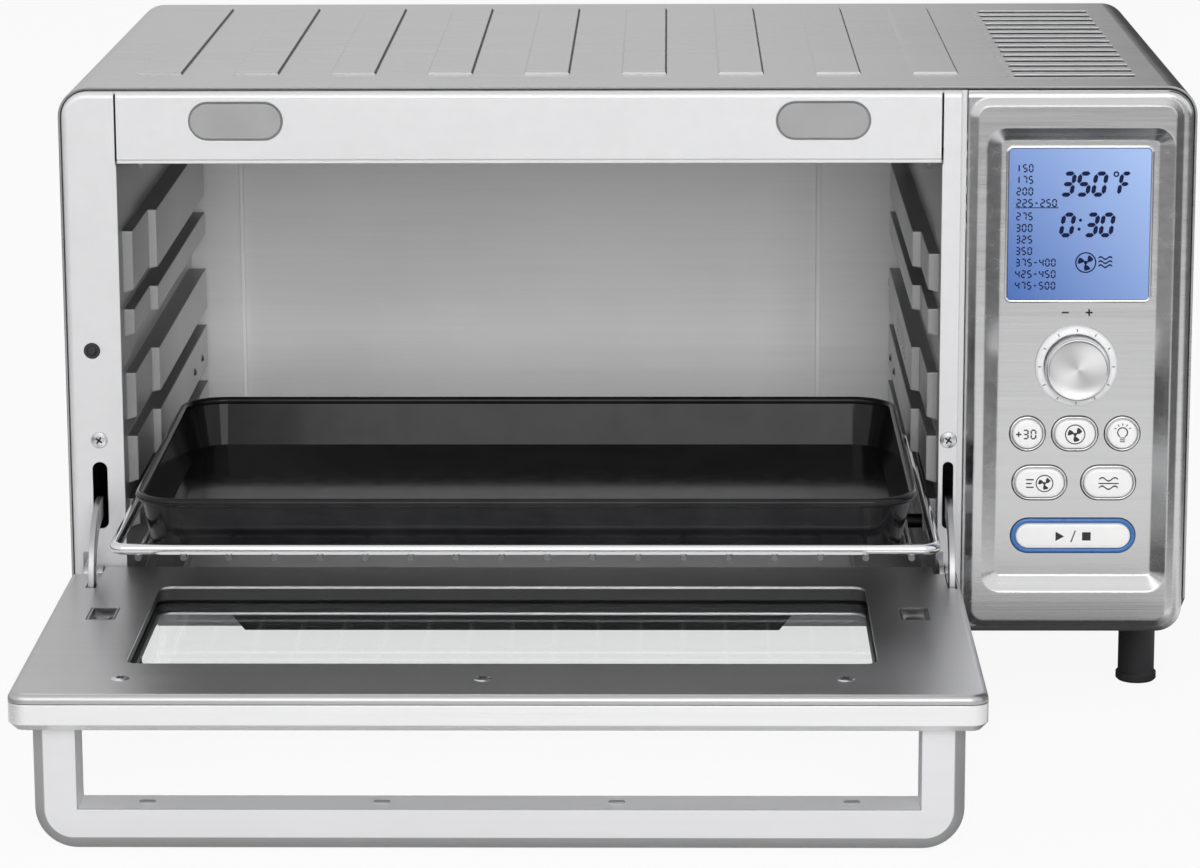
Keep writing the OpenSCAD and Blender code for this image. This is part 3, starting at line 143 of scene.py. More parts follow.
def flat_length(tree, across, up):
    flat = put(tree, "ShaderNodeCombineXYZ", {"X": across, "Y": up}).outputs[0]
    return put(tree, "ShaderNodeVectorMath", {0: flat}, operation="LENGTH").outputs["Value"]


floor_paper, paper = new_material("floor_paper")
paper_place = object_place(paper)
paper_tone = spread_over(paper, noise(paper, paper_place, scale=3.0, detail=2.0), (0.0, 1.0), (0.84, 0.88))
paper_lit = put(paper, "ShaderNodeBsdfPrincipled",
                {"Base Color": paper_tone, "Roughness": 0.9, "Specular IOR Level": 0.1})
# in the steel the floor carries a painted shadow under the oven, and is dark again far out at both sides and
# in front
paper_way = split(paper, paper_place)
beyond = []
for axis, middle, half in (("X", 0.0, 0.26), ("Y", 0.005, 0.24)):
    off_middle = maths(paper, "ABSOLUTE", maths(paper, "SUBTRACT", paper_way[axis], middle))
    beyond.append(maths(paper, "MAXIMUM", maths(paper, "SUBTRACT", off_middle, half), 0.0))
paper_shade = spread_over(paper, flat_length(paper, *beyond), (0.0, 0.08), (0.04, 1.0))
paper_slant = maths(paper, "MULTIPLY_ADD", paper_way["Y"], 0.2, paper_way["X"])
for value, ends, least in ((paper_slant, (0.35, 0.7), 0.12), (paper_way["X"], (-0.32, -0.6), 0.25),
                           (paper_way["Y"], (-0.8, -1.6), 0.30)):
    paper_shade = maths(paper, "MULTIPLY", paper_shade, spread_over(paper, value, ends, (1.0, least)))
paper_ray = put(paper, "ShaderNodeLightPath").outputs
in_mirror = maths(paper, "GREATER_THAN", paper_ray["Is Glossy Ray"], paper_ray["Is Transmission Ray"])
paper_level = blend(paper, in_mirror, 1.0, paper_shade)
paper_glow = put(paper, "ShaderNodeEmission", {"Color": (1, 1, 1, 1), "Strength": paper_level})
glow_share = 0.92
paper_share = maths(paper, "MULTIPLY", looked_at(paper), glow_share)
paper_mix = put(paper, "ShaderNodeMixShader",
                {0: paper_share, 1: paper_lit.outputs[0], 2: paper_glow.outputs[0]})
put(paper, "ShaderNodeOutputMaterial", {"Surface": paper_mix.outputs[0]})
floor_reach = 9.0
floor_corners = [(x * floor_reach, y * floor_reach, 0) for x, y in ((-1, -1), (1, -1), (1, 1), (-1, 1))]
floor_mesh = bpy.data.meshes.new("floor")
floor_mesh.from_pydata(floor_corners, [], [(0, 1, 2, 3)])
floor_mesh.materials.append(floor_paper)
floor = bpy.data.objects.new("floor", floor_mesh)
scene.collection.objects.link(floor)


def softbox(name, place, aim, size, power, mirrored=True):
    lamp = bpy.data.lights.new(name, "AREA")
    lamp.shape = "SQUARE"
    lamp.size = size
    lamp.energy = power
    stand = bpy.data.objects.new(name, lamp)
    stand.location = place
    stand.rotation_euler = (Vector(aim) - Vector(place)).to_track_quat("-Z", "Y").to_euler()
    stand.visible_glossy = mirrored
    stand.visible_camera = False
    scene.collection.objects.link(stand)


softbox("key_box", place=(-1.0, -1.9, 1.5), aim=(0, 0, 0.15), size=1.2, power=5)
softbox("front_box", place=(0.15, -2.3, 0.7), aim=(0, 0, 0.12), size=1.1, power=25, mirrored=False)
softbox("front_glow", place=(0.15, -2.3, 1.15), aim=(0, 0, 0.12), size=1.1, power=10)
softbox("top_box", place=(0.0, 1.6, 1.9), aim=(0, 0.1, 0.2), size=1.4, power=7)

eye = Vector((19.5, -2016.2, 571.7)) * MM
pitch, yaw, roll = math.radians(12.534), math.radians(0.938), math.radians(0.214)
camera = bpy.data.objects.new("camera", bpy.data.cameras.new("camera"))
camera.data.sensor_width = 36.0
camera.data.lens = 129.47
camera.matrix_world = (Matrix.Translation(eye) @ Matrix.Rotation(yaw, 4, "Z")
                       @ Matrix.Rotation(math.pi / 2 - pitch, 4, "X") @ Matrix.Rotation(-roll, 4, "Z"))
scene.collection.objects.link(camera)
scene.camera = camera

# Casing: one sheet of brushed stainless steel bent over the top and both sides.
# Flat panels are pressed up along the top, and louvres over the controls let the heat out.


def effect_group(name, takes, gives):
    tree = bpy.data.node_groups.new(name, "ShaderNodeTree")
    for label, kind, value in takes:
        socket = tree.interface.new_socket(label, in_out="INPUT", socket_type=kind)
        if value is not None:
            socket.default_value = value
    for label in gives:
        tree.interface.new_socket(label, in_out="OUTPUT", socket_type="NodeSocketFloat")
    return tree, put(tree, "NodeGroupInput").outputs, put(tree, "NodeGroupOutput").inputs


def brushed_grain_group():
    # fine lines on broad ones
    tree, takes, gives = effect_group(
        "brushed_grain", [("Vector", "NodeSocketVector", None), ("Spread", "NodeSocketFloat", 0.1)],
        ["Tone", "Height"])
    fine = noise(tree, takes["Vector"], scale=1.0, detail=3.0, roughness=0.7)
    wider = put(tree, "ShaderNodeVectorMath", {0: takes["Vector"], "Scale": 0.16}, operation="SCALE")
    broad = noise(tree, wider.outputs[0], scale=1.0, detail=2.0)
    height = maths(tree, "SUBTRACT", maths(tree, "ADD", fine, broad), 1.0)
    tree.links.new(maths(tree, "MULTIPLY_ADD", height, takes["Spread"], 1.0), gives["Tone"])
    tree.links.new(height, gives["Height"])
    return tree


def soft_marks_group():
    # soft clouds, as from wiping and handling
    tree, takes, gives = effect_group(
        "soft_marks", [("Vector", "NodeSocketVector", None), ("Size", "NodeSocketFloat", 9.0),
                       ("Amount", "NodeSocketFloat", 0.05)], ["Tone", "Mask"])
    cloud = noise(tree, takes["Vector"], scale=takes["Size"], detail=3.0, roughness=0.55)
    mask = maths(tree, "SUBTRACT", cloud, 0.5)
    tree.links.new(maths(tree, "MULTIPLY_ADD", mask, takes["Amount"], 1.0), gives["Tone"])
    tree.links.new(mask, gives["Mask"])
    return tree


brushed_grain = brushed_grain_group()
soft_marks = soft_marks_group()


def smears(tree, place, size, amount):
    return put(tree, "ShaderNodeGroup", {"Vector": place, "Size": size, "Amount": amount},
               node_tree=soft_marks).outputs


def toned(tree, colour, tone):
    return put(tree, "ShaderNodeMix", {0: 1.0, 6: colour, 7: tone}, data_type="RGBA",
               blend_type="MULTIPLY").outputs[2]


def tinted(tree, colour, *tones):
    tone = tones[0]
    for other in tones[1:]:
        tone = maths(tree, "MULTIPLY", tone, other)
    return toned(tree, (*colour, 1), tone)


def bumped(tree, height, strength, deep, edge=None):
    # fine relief, deep in millimetres, on edges that look rounded if a radius is given for them
    inputs = {"Strength": strength, "Distance": deep * MM, "Height": height}
    if edge is not None:
        inputs["Normal"] = put(tree, "ShaderNodeBevel", {"Radius": edge * MM}, samples=4).outputs[0]
    return put(tree, "ShaderNodeBump", inputs).outputs[0]


def skinned(tree, **inputs):
    # the sockets of the surface by name, with _ for each space
    named = {label.replace("_", " "): value for label, value in inputs.items()}
    skin = put(tree, "ShaderNodeBsdfPrincipled", named)
    put(tree, "ShaderNodeOutputMaterial", {"Surface": skin.outputs[0]})


def brushed_metal(name, colour, lay, rough, spread, edge=0.5, marks=0.10, metallic=1.0, depth=0.10,
                  shade=None):
    # lay scales the grain along X, Y and Z, and spread is how far its tones differ;
    # shade paints shade along Y: two places in millimetres, and the tone at the first of them
    material, tree = new_material(name)
    place = object_place(tree)
    along = put(tree, "ShaderNodeMapping", {"Vector": place, "Scale": lay})
    lines = put(tree, "ShaderNodeGroup", {"Vector": along.outputs[0], "Spread": spread},
                node_tree=brushed_grain).outputs
    smear = smears(tree, place, size=9.0, amount=marks)
    by_lines, by_smears = 0.12, 0.10
    rough_lines = maths(tree, "MULTIPLY_ADD", lines["Height"], by_lines, rough)
    tones = [lines["Tone"], smear["Tone"]]
    if shade:
        front, back, front_tone = shade
        inward = split(tree, place)["Y"]
        tones.append(spread_over(tree, inward, (front * MM, back * MM), (front_tone, 1.0)))
    skinned(tree, Base_Color=tinted(tree, colour, *tones), Metallic=metallic,
            Roughness=maths(tree, "MULTIPLY_ADD", smear["Mask"], by_smears, rough_lines),
            Normal=bumped(tree, lines["Height"], depth, deep=0.2, edge=edge))
    return material


def painted_shade_by_facing(material, stops, way=(0, -1, 0)):
    # paints shade into the base colour, darker or lighter by the way a face looks
    # each stop is a place and a tone: 0 is a face that looks the given way, 1 one that is square to it
    tree = material.node_tree
    base = tree.nodes["Principled BSDF"].inputs["Base Color"]
    normal = put(tree, "ShaderNodeTexCoord").outputs["Normal"]
    facing = put(tree, "ShaderNodeVectorMath", {0: normal, 1: way}, operation="DOT_PRODUCT")
    turned_away = maths(tree, "SUBTRACT", 1.0, facing.outputs["Value"])
    tree.links.new(toned(tree, base.links[0].from_socket, ramp(tree, turned_away, stops)), base)


def dress(material, *names):
    for name in names:
        nodes[name].data.materials.clear()
        nodes[name].data.materials.append(material)


ALONG, ACROSS = 14, 1500
LAY_X, LAY_Y, LAY_Z = (ALONG, ACROSS, ACROSS), (ACROSS, ALONG, ACROSS), (ACROSS, ACROSS, ALONG)
casing_steel = brushed_metal("casing_steel", (0.48, 0.48, 0.485), LAY_X, rough=0.30, spread=0.18)
# painted shade: faces that slope part way towards the front, on the louvres and pressed panels, are darker
painted_shade_by_facing(casing_steel, ((0.01, 1.0), (0.05, 0.75), (0.80, 0.75), (0.95, 1.0)))
dress(casing_steel, "outer_wrapper")

# Back, bottom and spacers: zinc-coated sheet screwed to the wrapper, with vents behind the oven.
# Two moulded spacers keep it off the wall, and a gland waits for the mains lead.


def even(scale):
    return (scale, scale, scale)


def moulded(name, colour, rough, grain, bumpiness, edge=0.5, coat=0.0, specular=0.5):
    material, tree = new_material(name)
    place = object_place(tree)
    smear = smears(tree, place, size=40.0, amount=0.25)
    by_smears = 0.2
    pores = noise(tree, place, scale=grain, detail=2.0)
    skinned(tree, Base_Color=tinted(tree, colour, smear["Tone"]), Coat_Weight=coat,
            Roughness=maths(tree, "MULTIPLY_ADD", smear["Mask"], by_smears, rough),
            Specular_IOR_Level=specular, Normal=bumped(tree, pores, bumpiness, deep=0.2, edge=edge))
    return material


zinc_sheet = brushed_metal("zinc_sheet", (0.46, 0.46, 0.47), even(120), rough=0.45, spread=0.14, marks=0.3)
dress(zinc_sheet, "back_panel", "bottom_pan", "motor_bracket")
foot_rubber = moulded("foot_rubber", (0.018, 0.018, 0.020), rough=0.55, grain=1400, bumpiness=0.25)
dress(foot_rubber, "feet", "rear_spacers")
black_plastic = moulded("black_plastic", (0.020, 0.020, 0.022), rough=0.38, grain=2200, bumpiness=0.12)
dress(black_plastic, "cord_gland", "switch_bush", "switch_plunger", "encoder", "display_module")

# Screws: plated screws hold the back, the front frame and the two sheets of the door.
# Each head has a cross recess for the driver, drawn as a dark cross: painted shade for a deep, narrow slot.


def named_tree(name, **takes):
    tree = bpy.data.node_groups.new(name, "GeometryNodeTree")
    for label, kind in takes.items():
        tree.interface.new_socket(label, in_out="INPUT", socket_type="NodeSocket" + kind)
    tree.interface.new_socket("Geometry", in_out="OUTPUT", socket_type="NodeSocketGeometry")
    return tree, put(tree, "NodeGroupInput").outputs, put(tree, "NodeGroupOutput").inputs


def finish_tree(tree, gives, shape, material):
    solid = put(tree, "GeometryNodeRealizeInstances", {"Geometry": shape})
    painted = put(tree, "GeometryNodeSetMaterial", {"Geometry": solid.outputs[0], "Material": material})
    tree.links.new(painted.outputs[0], gives["Geometry"])


def add_piece(name, mesh, material, body, smooth=False):
    if material:
        mesh.materials.append(material)
    if smooth:
        mesh.shade_smooth()
    piece = bpy.data.objects.new(name, mesh)
    scene.collection.objects.link(piece)
    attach(piece, body)
    return piece


def grow(name, tree, body, values, points=()):
    # runs a node tree on a mesh of points and keeps the result as a plain mesh
    seed_mesh = bpy.data.meshes.new(name + "_seed")
    seed_mesh.from_pydata(points, [], [])
    seed = bpy.data.objects.new(name + "_seed", seed_mesh)
    scene.collection.objects.link(seed)
    maker = seed.modifiers.new("maker", "NODES")
    maker.node_group = tree
    for item in tree.interface.items_tree:
        if item.in_out == "INPUT" and item.name in values:
            maker[item.identifier] = values[item.name]
    mesh = bpy.data.meshes.new_from_object(seed.evaluated_get(bpy.context.evaluated_depsgraph_get()))
    mesh.name = name
    seed.modifiers.remove(maker)
    bpy.data.objects.remove(seed)
    add_piece(name, mesh, None, body)


def recess_tree():
    tree, takes, gives = named_tree("cross_recess", Points="Geometry", Length="Float", Width="Float",
                                    Depth="Float", Turn="Vector", Shade="Material")
    size = put(tree, "ShaderNodeCombineXYZ",
               {"X": takes["Length"], "Y": takes["Width"], "Z": takes["Depth"]})
    stroke = put(tree, "GeometryNodeMeshCube", {"Size": size.outputs[0]})
    other = put(tree, "GeometryNodeTransform",
                {"Geometry": stroke.outputs["Mesh"], "Rotation": (0, 0, math.pi / 2)})
    cross = put(tree, "GeometryNodeJoinGeometry")
    tree.links.new(stroke.outputs["Mesh"], cross.inputs[0])
    tree.links.new(other.outputs[0], cross.inputs[0])
    many = put(tree, "GeometryNodeInstanceOnPoints",
               {"Points": takes["Points"], "Instance": cross.outputs[0], "Rotation": takes["Turn"]})
    finish_tree(tree, gives, many.outputs[0], takes["Shade"])
    return tree


def head_spots(name, axis, towards):
    # middle of each screw's head, at its outermost point along one axis
    bm = bmesh.new()
    bm.from_mesh(nodes[name].data)
    bmesh.ops.remove_doubles(bm, verts=bm.verts, dist=1e-6)
    left, spots = set(bm.verts), []
    while left:
        found, edge = set(), [left.pop()]
        while edge:
            vert = edge.pop()
            found.add(vert)
            near = {e.other_vert(vert) for e in vert.link_edges} & left
            left -= near
            edge += near
        low = Vector([min(v.co[i] for v in found) for i in range(3)])
        high = Vector([max(v.co[i] for v in found) for i in range(3)])
        spot = (low + high) / 2
        spot[axis] = high[axis] if towards > 0 else low[axis]
        spots.append(spot)
    bm.free()
    return sorted(spots, key=tuple)


bright_screw = brushed_metal("bright_screw", (0.66, 0.66, 0.67), even(600), rough=0.22, spread=0.10, edge=0.2)
dress(bright_screw, "case_screws", "frame_screws", "door_screws")
recess_painted_shade = moulded("recess_painted_shade", (0.03, 0.03, 0.032), rough=0.6, grain=2500, bumpiness=0.05)
cross_recess = recess_tree()
recess_length, recess_width, recess_depth, recess_turn = 3.6 * MM, 0.8 * MM, 0.5 * MM, 0.6
upright, lying = (math.pi / 2, recess_turn, 0), (0, 0, recess_turn)
for name, body, axis, towards, turn in (("case_screws", "housing", 1, 1, upright),
                                        ("frame_screws", "housing", 1, -1, upright),
                                        ("door_screws", "door", 2, 1, lying)):
    grow(name + "_recess", cross_recess, body,
         {"Length": recess_length, "Width": recess_width, "Depth": recess_depth, "Turn": turn,
          "Shade": recess_painted_shade}, head_spots(name, axis, towards))

# Front: the frame is one pressing with a folded rim, sprayed in pale satin silver.
# A thin header skin lies over it above the opening, with two soft oval pads for the door.
front_silver = brushed_metal("front_silver", (0.72, 0.72, 0.73), even(900), rough=0.42, spread=0.05,
                             marks=0.06, metallic=0.4, depth=0.05)
dress(front_silver, "front_frame", "header_panel")
pad_grey = moulded("pad_grey", (0.33, 0.33, 0.335), rough=0.5, grain=1600, bumpiness=0.15, edge=0.8)
dress(pad_grey, "header_bumpers")

# Control panel: brushed stainless sheet drawn into a raised land and a shallow dish.
# The grain runs across it, and its bends are softly rounded by the drawing.
panel_steel = brushed_metal("panel_steel", (0.66, 0.66, 0.665), LAY_X, rough=0.24, spread=0.18, edge=1.2)
dress(panel_steel, "control_panel")

# Display: a backlit blue window in a thin bright bezel, with slanted dark segments for the figures.
# A list of plain numbers runs down its left side, as steps of heat to choose from.
window_low, window_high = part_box("display_window")
display_blue, blue = new_material("display_blue")
blue_way = split(blue, object_place(blue))
blue_across = spread_over(blue, blue_way["X"], (window_low.x, window_high.x), (0.0, 0.55))
blue_up = spread_over(blue, blue_way["Z"], (window_low.z, window_high.z), (0.0, 0.45))
blue_colour = ramp(blue, maths(blue, "ADD", blue_across, blue_up),
                   ((0.0, (0.055, 0.125, 0.37)), (1.0, (0.32, 0.44, 0.71))))
skinned(blue, Base_Color=blue_colour, Roughness=0.25, Specular_IOR_Level=0.3,
        Emission_Color=blue_colour, Emission_Strength=0.16)
dress(display_blue, "display_window")


def flat_marks(name, shapes, y, material, body, lift=0.06):
    # each shape is an outline in millimetres, x to the right and z up, printed on the face at y
    bm = bmesh.new()
    for shape in shapes:
        area = sum(a[0] * b[1] - b[0] * a[1] for a, b in zip(shape, shape[1:] + shape[:1]))
        ring = shape if area > 0 else shape[::-1]
        front = [bm.verts.new((x * MM, y - lift * MM, z * MM)) for x, z in ring]
        back = [bm.verts.new((x * MM, y, z * MM)) for x, z in ring]
        bm.faces.new(front)
        bm.faces.new(back[::-1])
        for i in range(len(ring)):
            j = (i + 1) % len(ring)
            bm.faces.new((front[i], back[i], back[j], front[j]))
    mesh = bpy.data.meshes.new(name)
    bm.to_mesh(mesh)
    bm.free()
    add_piece(name, mesh, material, body)


SEGMENTS = {"0": "abcdef", "1": "i", "2": "abdeg", "3": "abcdg", "4": "bcfg", "5": "acdfg", "6": "acdefg",
            "7": "abc", "F": "aefg", "-": "g"}


def segment_digit(text, left, base, size, slant=0.16):
    # size gives the width and the height of a figure, and how thick its strokes are
    w, h, t = size
    gap, half, mid = 0.12 * t, t / 2, h / 2
    runs = {"a": (0, h, w, h), "g": (0, mid, w, mid), "d": (0, 0, w, 0), "f": (0, mid, 0, h),
            "e": (0, 0, 0, mid), "b": (w, mid, w, h), "c": (w, 0, w, mid), "i": (w / 2, 0, w / 2, h)}
    shapes = []
    for key in SEGMENTS[text]:
        x0, z0, x1, z1 = runs[key]
        if z0 == z1:
            x0, x1 = x0 + gap, x1 - gap
            ring = [(x0, z0), (x0 + half, z0 + half), (x1 - half, z0 + half), (x1, z0),
                    (x1 - half, z0 - half), (x0 + half, z0 - half)]
        else:
            z0, z1 = z0 + gap, z1 - gap
            ring = [(x0, z0), (x0 - half, z0 + half), (x0 - half, z1 - half), (x0, z1),
                    (x0 + half, z1 - half), (x0 + half, z0 + half)]
        shapes.append([(left + x + z * slant, base + z) for x, z in ring])
    return shapes


def on_circle(x, z, r, turn):
    return x + r * math.cos(turn), z + r * math.sin(turn)


def disc(x, z, r, n=12):
    return [on_circle(x, z, r, 2 * math.pi * i / n) for i in range(n)]


def arc_band(x, z, r, w, start=0, end=360, n=16):
    turns = [math.radians(start + (end - start) * i / n) for i in range(n + 1)]
    inner, outer = ([on_circle(x, z, r + side, turn) for turn in turns] for side in (-w / 2, w / 2))
    return [[inner[i], outer[i], outer[i + 1], inner[i + 1]] for i in range(n)]


def fan_mark(x, z, r):
    # three curved blades round a hub; each is drawn along its own line and then turned
    shapes = [disc(x, z, 0.2 * r)]
    shares = [i / 8 for i in range(9)]
    full_side = [(s, 0.594 * math.sin(math.pi * s ** 1.4)) for s in shares]
    flat_side = [(s, -0.12 * math.sin(math.pi * s)) for s in shares[7:0:-1]]
    leaf = [(0.12 * r + 0.78 * r * s, r * bulge) for s, bulge in full_side + flat_side]
    for k in range(3):
        turn = 2 * math.pi * k / 3 + 0.4
        c, s = math.cos(turn), math.sin(turn)
        shapes.append([(x + u * c - v * s, z + u * s + v * c) for u, v in leaf])
    return shapes


def wave_band(x0, x1, z, rise, w, n=14):
    mid = [(x0 + (x1 - x0) * i / n, z + rise * math.sin(2 * math.pi * 1.5 * i / n)) for i in range(n + 1)]
    return [[(a[0], a[1] - w / 2), (b[0], b[1] - w / 2), (b[0], b[1] + w / 2), (a[0], a[1] + w / 2)]
            for a, b in zip(mid, mid[1:])]


def bar_mark(x, z, w, h):
    return [(x - w / 2, z - h / 2), (x + w / 2, z - h / 2), (x + w / 2, z + h / 2), (x - w / 2, z + h / 2)]


def middle_of(low, high):
    # middle of a box across and up, in millimetres
    return (low.x + high.x) / 2 / MM, (low.z + high.z) / 2 / MM


lcd_x, lcd_z = middle_of(window_low, window_high)
heat_size, unit_size = (4.7, 9.8, 2.0), (4.0, 9.8, 1.9)
time_size, list_size = (4.6, 9.6, 2.0), (1.6, 3.2, 0.62)
heat_z, time_z, fan_z = lcd_z + 13.9, lcd_z - 5.0, lcd_z - 17.8
figures = []
for place, digit in enumerate("350"):
    figures += segment_digit(digit, lcd_x - 8.6 + 7.3 * place, heat_z, heat_size)
figures += arc_band(lcd_x + 16.6, lcd_z + 23.4, 1.0, 0.7)
figures += segment_digit("F", lcd_x + 17.8, heat_z, unit_size)
for left, digit in ((-8.4, "0"), (2.6, "3"), (9.8, "0")):
    figures += segment_digit(digit, lcd_x + left, time_z, time_size)
figures += [disc(lcd_x, lcd_z - 2.2, 0.75), disc(lcd_x + 0.6, lcd_z + 2.0, 0.75)]
figures += fan_mark(lcd_x + 3.4, fan_z, 4.3) + arc_band(lcd_x + 3.4, fan_z, 4.6, 0.6, n=28)
for lift in (-1.7, 0.2, 2.1):
    figures += wave_band(lcd_x + 9.2, lcd_x + 15.6, fan_z + lift, 0.6, 0.75)
list_left, list_step = lcd_x - 28.8, 2.75
list_rows = ((26.2, "150"), (20.8, "175"), (15.4, "200"), (10.0, "225-250"), (3.8, "275"), (-1.6, "300"),
             (-7.0, "325"), (-12.4, "350"), (-17.8, "375-400"), (-23.2, "425-450"), (-28.6, "475-500"))
for row, number in list_rows:
    for place, digit in enumerate(number):
        base = lcd_z + row - list_size[1] / 2
        figures += segment_digit(digit, list_left + list_step * place, base, list_size, slant=0.0)
figures.append(bar_mark(lcd_x - 19.5, lcd_z + 7.8, 19.8, 0.4))
segment_ink = moulded("segment_ink", (0.008, 0.012, 0.050), rough=0.5, grain=2500, bumpiness=0.05,
                      specular=0.1)
flat_marks("display_figures", figures, window_low.y, segment_ink, "housing")


def outline_ring(centre, size, corner, inset, y, n=10):
    # an oblong with round corners in millimetres, drawn in from its outline and standing at y
    half_w, half_h, r = size[0] / 2 - inset, size[1] / 2 - inset, max(corner - inset, 0.05)
    ring = []
    for k, (side, end) in enumerate(((1, 1), (-1, 1), (-1, -1), (1, -1))):
        for i in range(n + 1):
            x, z = on_circle(centre[0] + side * (half_w - r), centre[1] + end * (half_h - r), r,
                             math.pi / 2 * (k + i / n))
            ring.append((x * MM, y * MM, z * MM))
    return ring


def loft(name, rings, closed=False):
    # rings of equal length, from the back to the front; a closed loft joins the last to the first
    bm = bmesh.new()
    rows = [[bm.verts.new(p) for p in ring] for ring in rings]
    pairs = list(zip(rows, rows[1:])) + ([(rows[-1], rows[0])] if closed else [])
    for low, high in pairs:
        for i in range(len(low)):
            j = (i + 1) % len(low)
            bm.faces.new((low[i], low[j], high[j], high[i]))
    if not closed:
        bm.faces.new(rows[0][::-1])
        bm.faces.new(rows[-1])
    bmesh.ops.remove_doubles(bm, verts=bm.verts, dist=1e-6)
    bmesh.ops.recalc_face_normals(bm, faces=bm.faces)
    mesh = bpy.data.meshes.new(name)
    bm.to_mesh(mesh)
    bm.free()
    return mesh


def polished(name, colour, rough):
    return brushed_metal(name, colour, even(250), rough, spread=0.03, edge=0.3, marks=0.05, depth=0.02)


# the rings round the buttons stand on the panel's flat field, so their backs tell where it is
field_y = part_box("button_rings")[1].y / MM
bezel_w, bezel_corner = 1.5, 3.2
bezel_size = [(end - start) / MM + 2 * bezel_w for start, end in zip(window_low.xz, window_high.xz)]
bezel_rings = [outline_ring((lcd_x, lcd_z), bezel_size, bezel_corner, inset, field_y - rise)
               for inset, rise in ((0, 0), (0.1, 0.5), (0.5, 0.8), (1.0, 0.8), (1.35, 0.5), (1.4, 0))]
bezel_chrome = polished("bezel_chrome", (0.80, 0.80, 0.81), rough=0.16)
bezel_mesh = loft("display_bezel", bezel_rings, closed=True)
add_piece("display_bezel", bezel_mesh, bezel_chrome, "housing", smooth=True)

# Selector: a turned aluminium knob in a pale ring with small dark marks round it.
# Its face is spun, with a painted sheen in two fans across it, and a bright bead runs round the rim.
knob_low, knob_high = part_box("selector_knob")
dial_x, dial_z = middle_of(knob_low, knob_high)
turned_face, spun = new_material("turned_face")
spun_place = put(spun, "ShaderNodeMapping",
                 {"Vector": object_place(spun), "Location": (-dial_x * MM, 0, -dial_z * MM)})
spun_way = split(spun, spun_place.outputs[0])
spun_angle = maths(spun, "ARCTAN2", spun_way["Z"], spun_way["X"])
# painted sheen: the face turns lighter and darker in two fans by its angle round the axis
painted_sheen_fans = maths(spun, "COSINE", maths(spun, "MULTIPLY_ADD", spun_angle, 2.0, -1.3))
spun_radius = flat_length(spun, spun_way["X"], spun_way["Z"])
spun_lines = put(spun, "ShaderNodeTexNoise", {"W": spun_radius, "Scale": 2600.0, "Detail": 2.0},
                 noise_dimensions="1D").outputs[0]
sheen_and_spun_lines = (spread_over(spun, painted_sheen_fans, (-1.0, 1.0), (0.62, 1.0)),
              spread_over(spun, spun_lines, (0.0, 1.0), (0.93, 1.05)))
skinned(spun, Base_Color=tinted(spun, (0.94, 0.94, 0.95), *sheen_and_spun_lines), Metallic=1.0, Roughness=0.30,
        Normal=bumped(spun, spun_lines, strength=0.12, deep=0.1))


def turned(name, profile, centre, steps=72):
    # profile of (radius, y) in millimetres, from the back to the front, turned about an axis along Y
    rings = [[(x * MM, y * MM, z * MM) for x, z in disc(*centre, r, steps)] for r, y in profile]
    return loft(name, rings)


knob_back, knob_front, knob_r = knob_high.y / MM, knob_low.y / MM, (knob_high.x - knob_low.x) / 2 / MM
# the bead, as how far in from the rim and how far behind the front each point lies
knob_bead = ((0.1, 1.6), (0.25, 0.7), (0.6, 0.15), (0.95, 0), (1.25, 0.12), (1.4, 0.5), (1.65, 0.62))
knob_bore_r = 2.9
knob_profile = [(knob_bore_r, knob_back), (knob_r - 0.2, knob_back), (knob_r, knob_back - 0.3)]
knob_profile += [(knob_r - inward, knob_front + sunk) for inward, sunk in knob_bead]
knob_profile += [(6.0, knob_front + 0.72), (0.4, knob_front + 0.78)]
knob_mesh = turned("knob", knob_profile, (dial_x, dial_z))
knob = add_piece("knob", knob_mesh, turned_face, "selector", smooth=True)
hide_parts("selector_knob")
dial_paint = moulded("dial_paint", (0.80, 0.80, 0.81), rough=0.30, grain=1800, bumpiness=0.05)
dress(dial_paint, "dial_ring")
shaft_steel = brushed_metal("shaft_steel", (0.50, 0.50, 0.51), LAY_Y, rough=0.32, spread=0.08)
dress(shaft_steel, "selector_shaft", "fan_shaft", "hinge_pins", "temperature_probe")


def tick_tree():
    tree, takes, gives = named_tree("dial_ticks", Count="Int", Radius="Float", Length="Float", Width="Float",
                                    Centre="Vector", Paint="Material")
    ring = put(tree, "GeometryNodeMeshCircle", {"Vertices": takes["Count"], "Radius": takes["Radius"]})
    size = put(tree, "ShaderNodeCombineXYZ",
               {"X": takes["Length"], "Y": takes["Width"], "Z": takes["Width"]})
    tick = put(tree, "GeometryNodeMeshCube", {"Size": size.outputs[0]})
    spot = split(tree, put(tree, "GeometryNodeInputPosition").outputs[0])
    turn = put(tree, "ShaderNodeCombineXYZ", {"Z": maths(tree, "ARCTAN2", spot["Y"], spot["X"])})
    many = put(tree, "GeometryNodeInstanceOnPoints",
               {"Points": ring.outputs["Mesh"], "Instance": tick.outputs["Mesh"],
                "Rotation": turn.outputs[0]})
    stood = put(tree, "GeometryNodeTransform",
                {"Geometry": many.outputs[0], "Translation": takes["Centre"],
                 "Rotation": (math.pi / 2, 0, 0)})
    finish_tree(tree, gives, stood.outputs[0], takes["Paint"])
    return tree


tick_ink = moulded("tick_ink", (0.22, 0.22, 0.225), rough=0.5, grain=2500, bumpiness=0.05)
ring_low, ring_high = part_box("dial_ring")
tick_count, tick_r, tick_length, tick_width, tick_sunk = 12, 17.0 * MM, 1.5 * MM, 0.5 * MM, 0.42 * MM
tick_centre = (dial_x * MM, ring_low.y + tick_sunk, dial_z * MM)
grow("dial_ticks", tick_tree(), "housing",
     {"Count": tick_count, "Radius": tick_r, "Length": tick_length, "Width": tick_width,
      "Centre": tick_centre, "Paint": tick_ink})

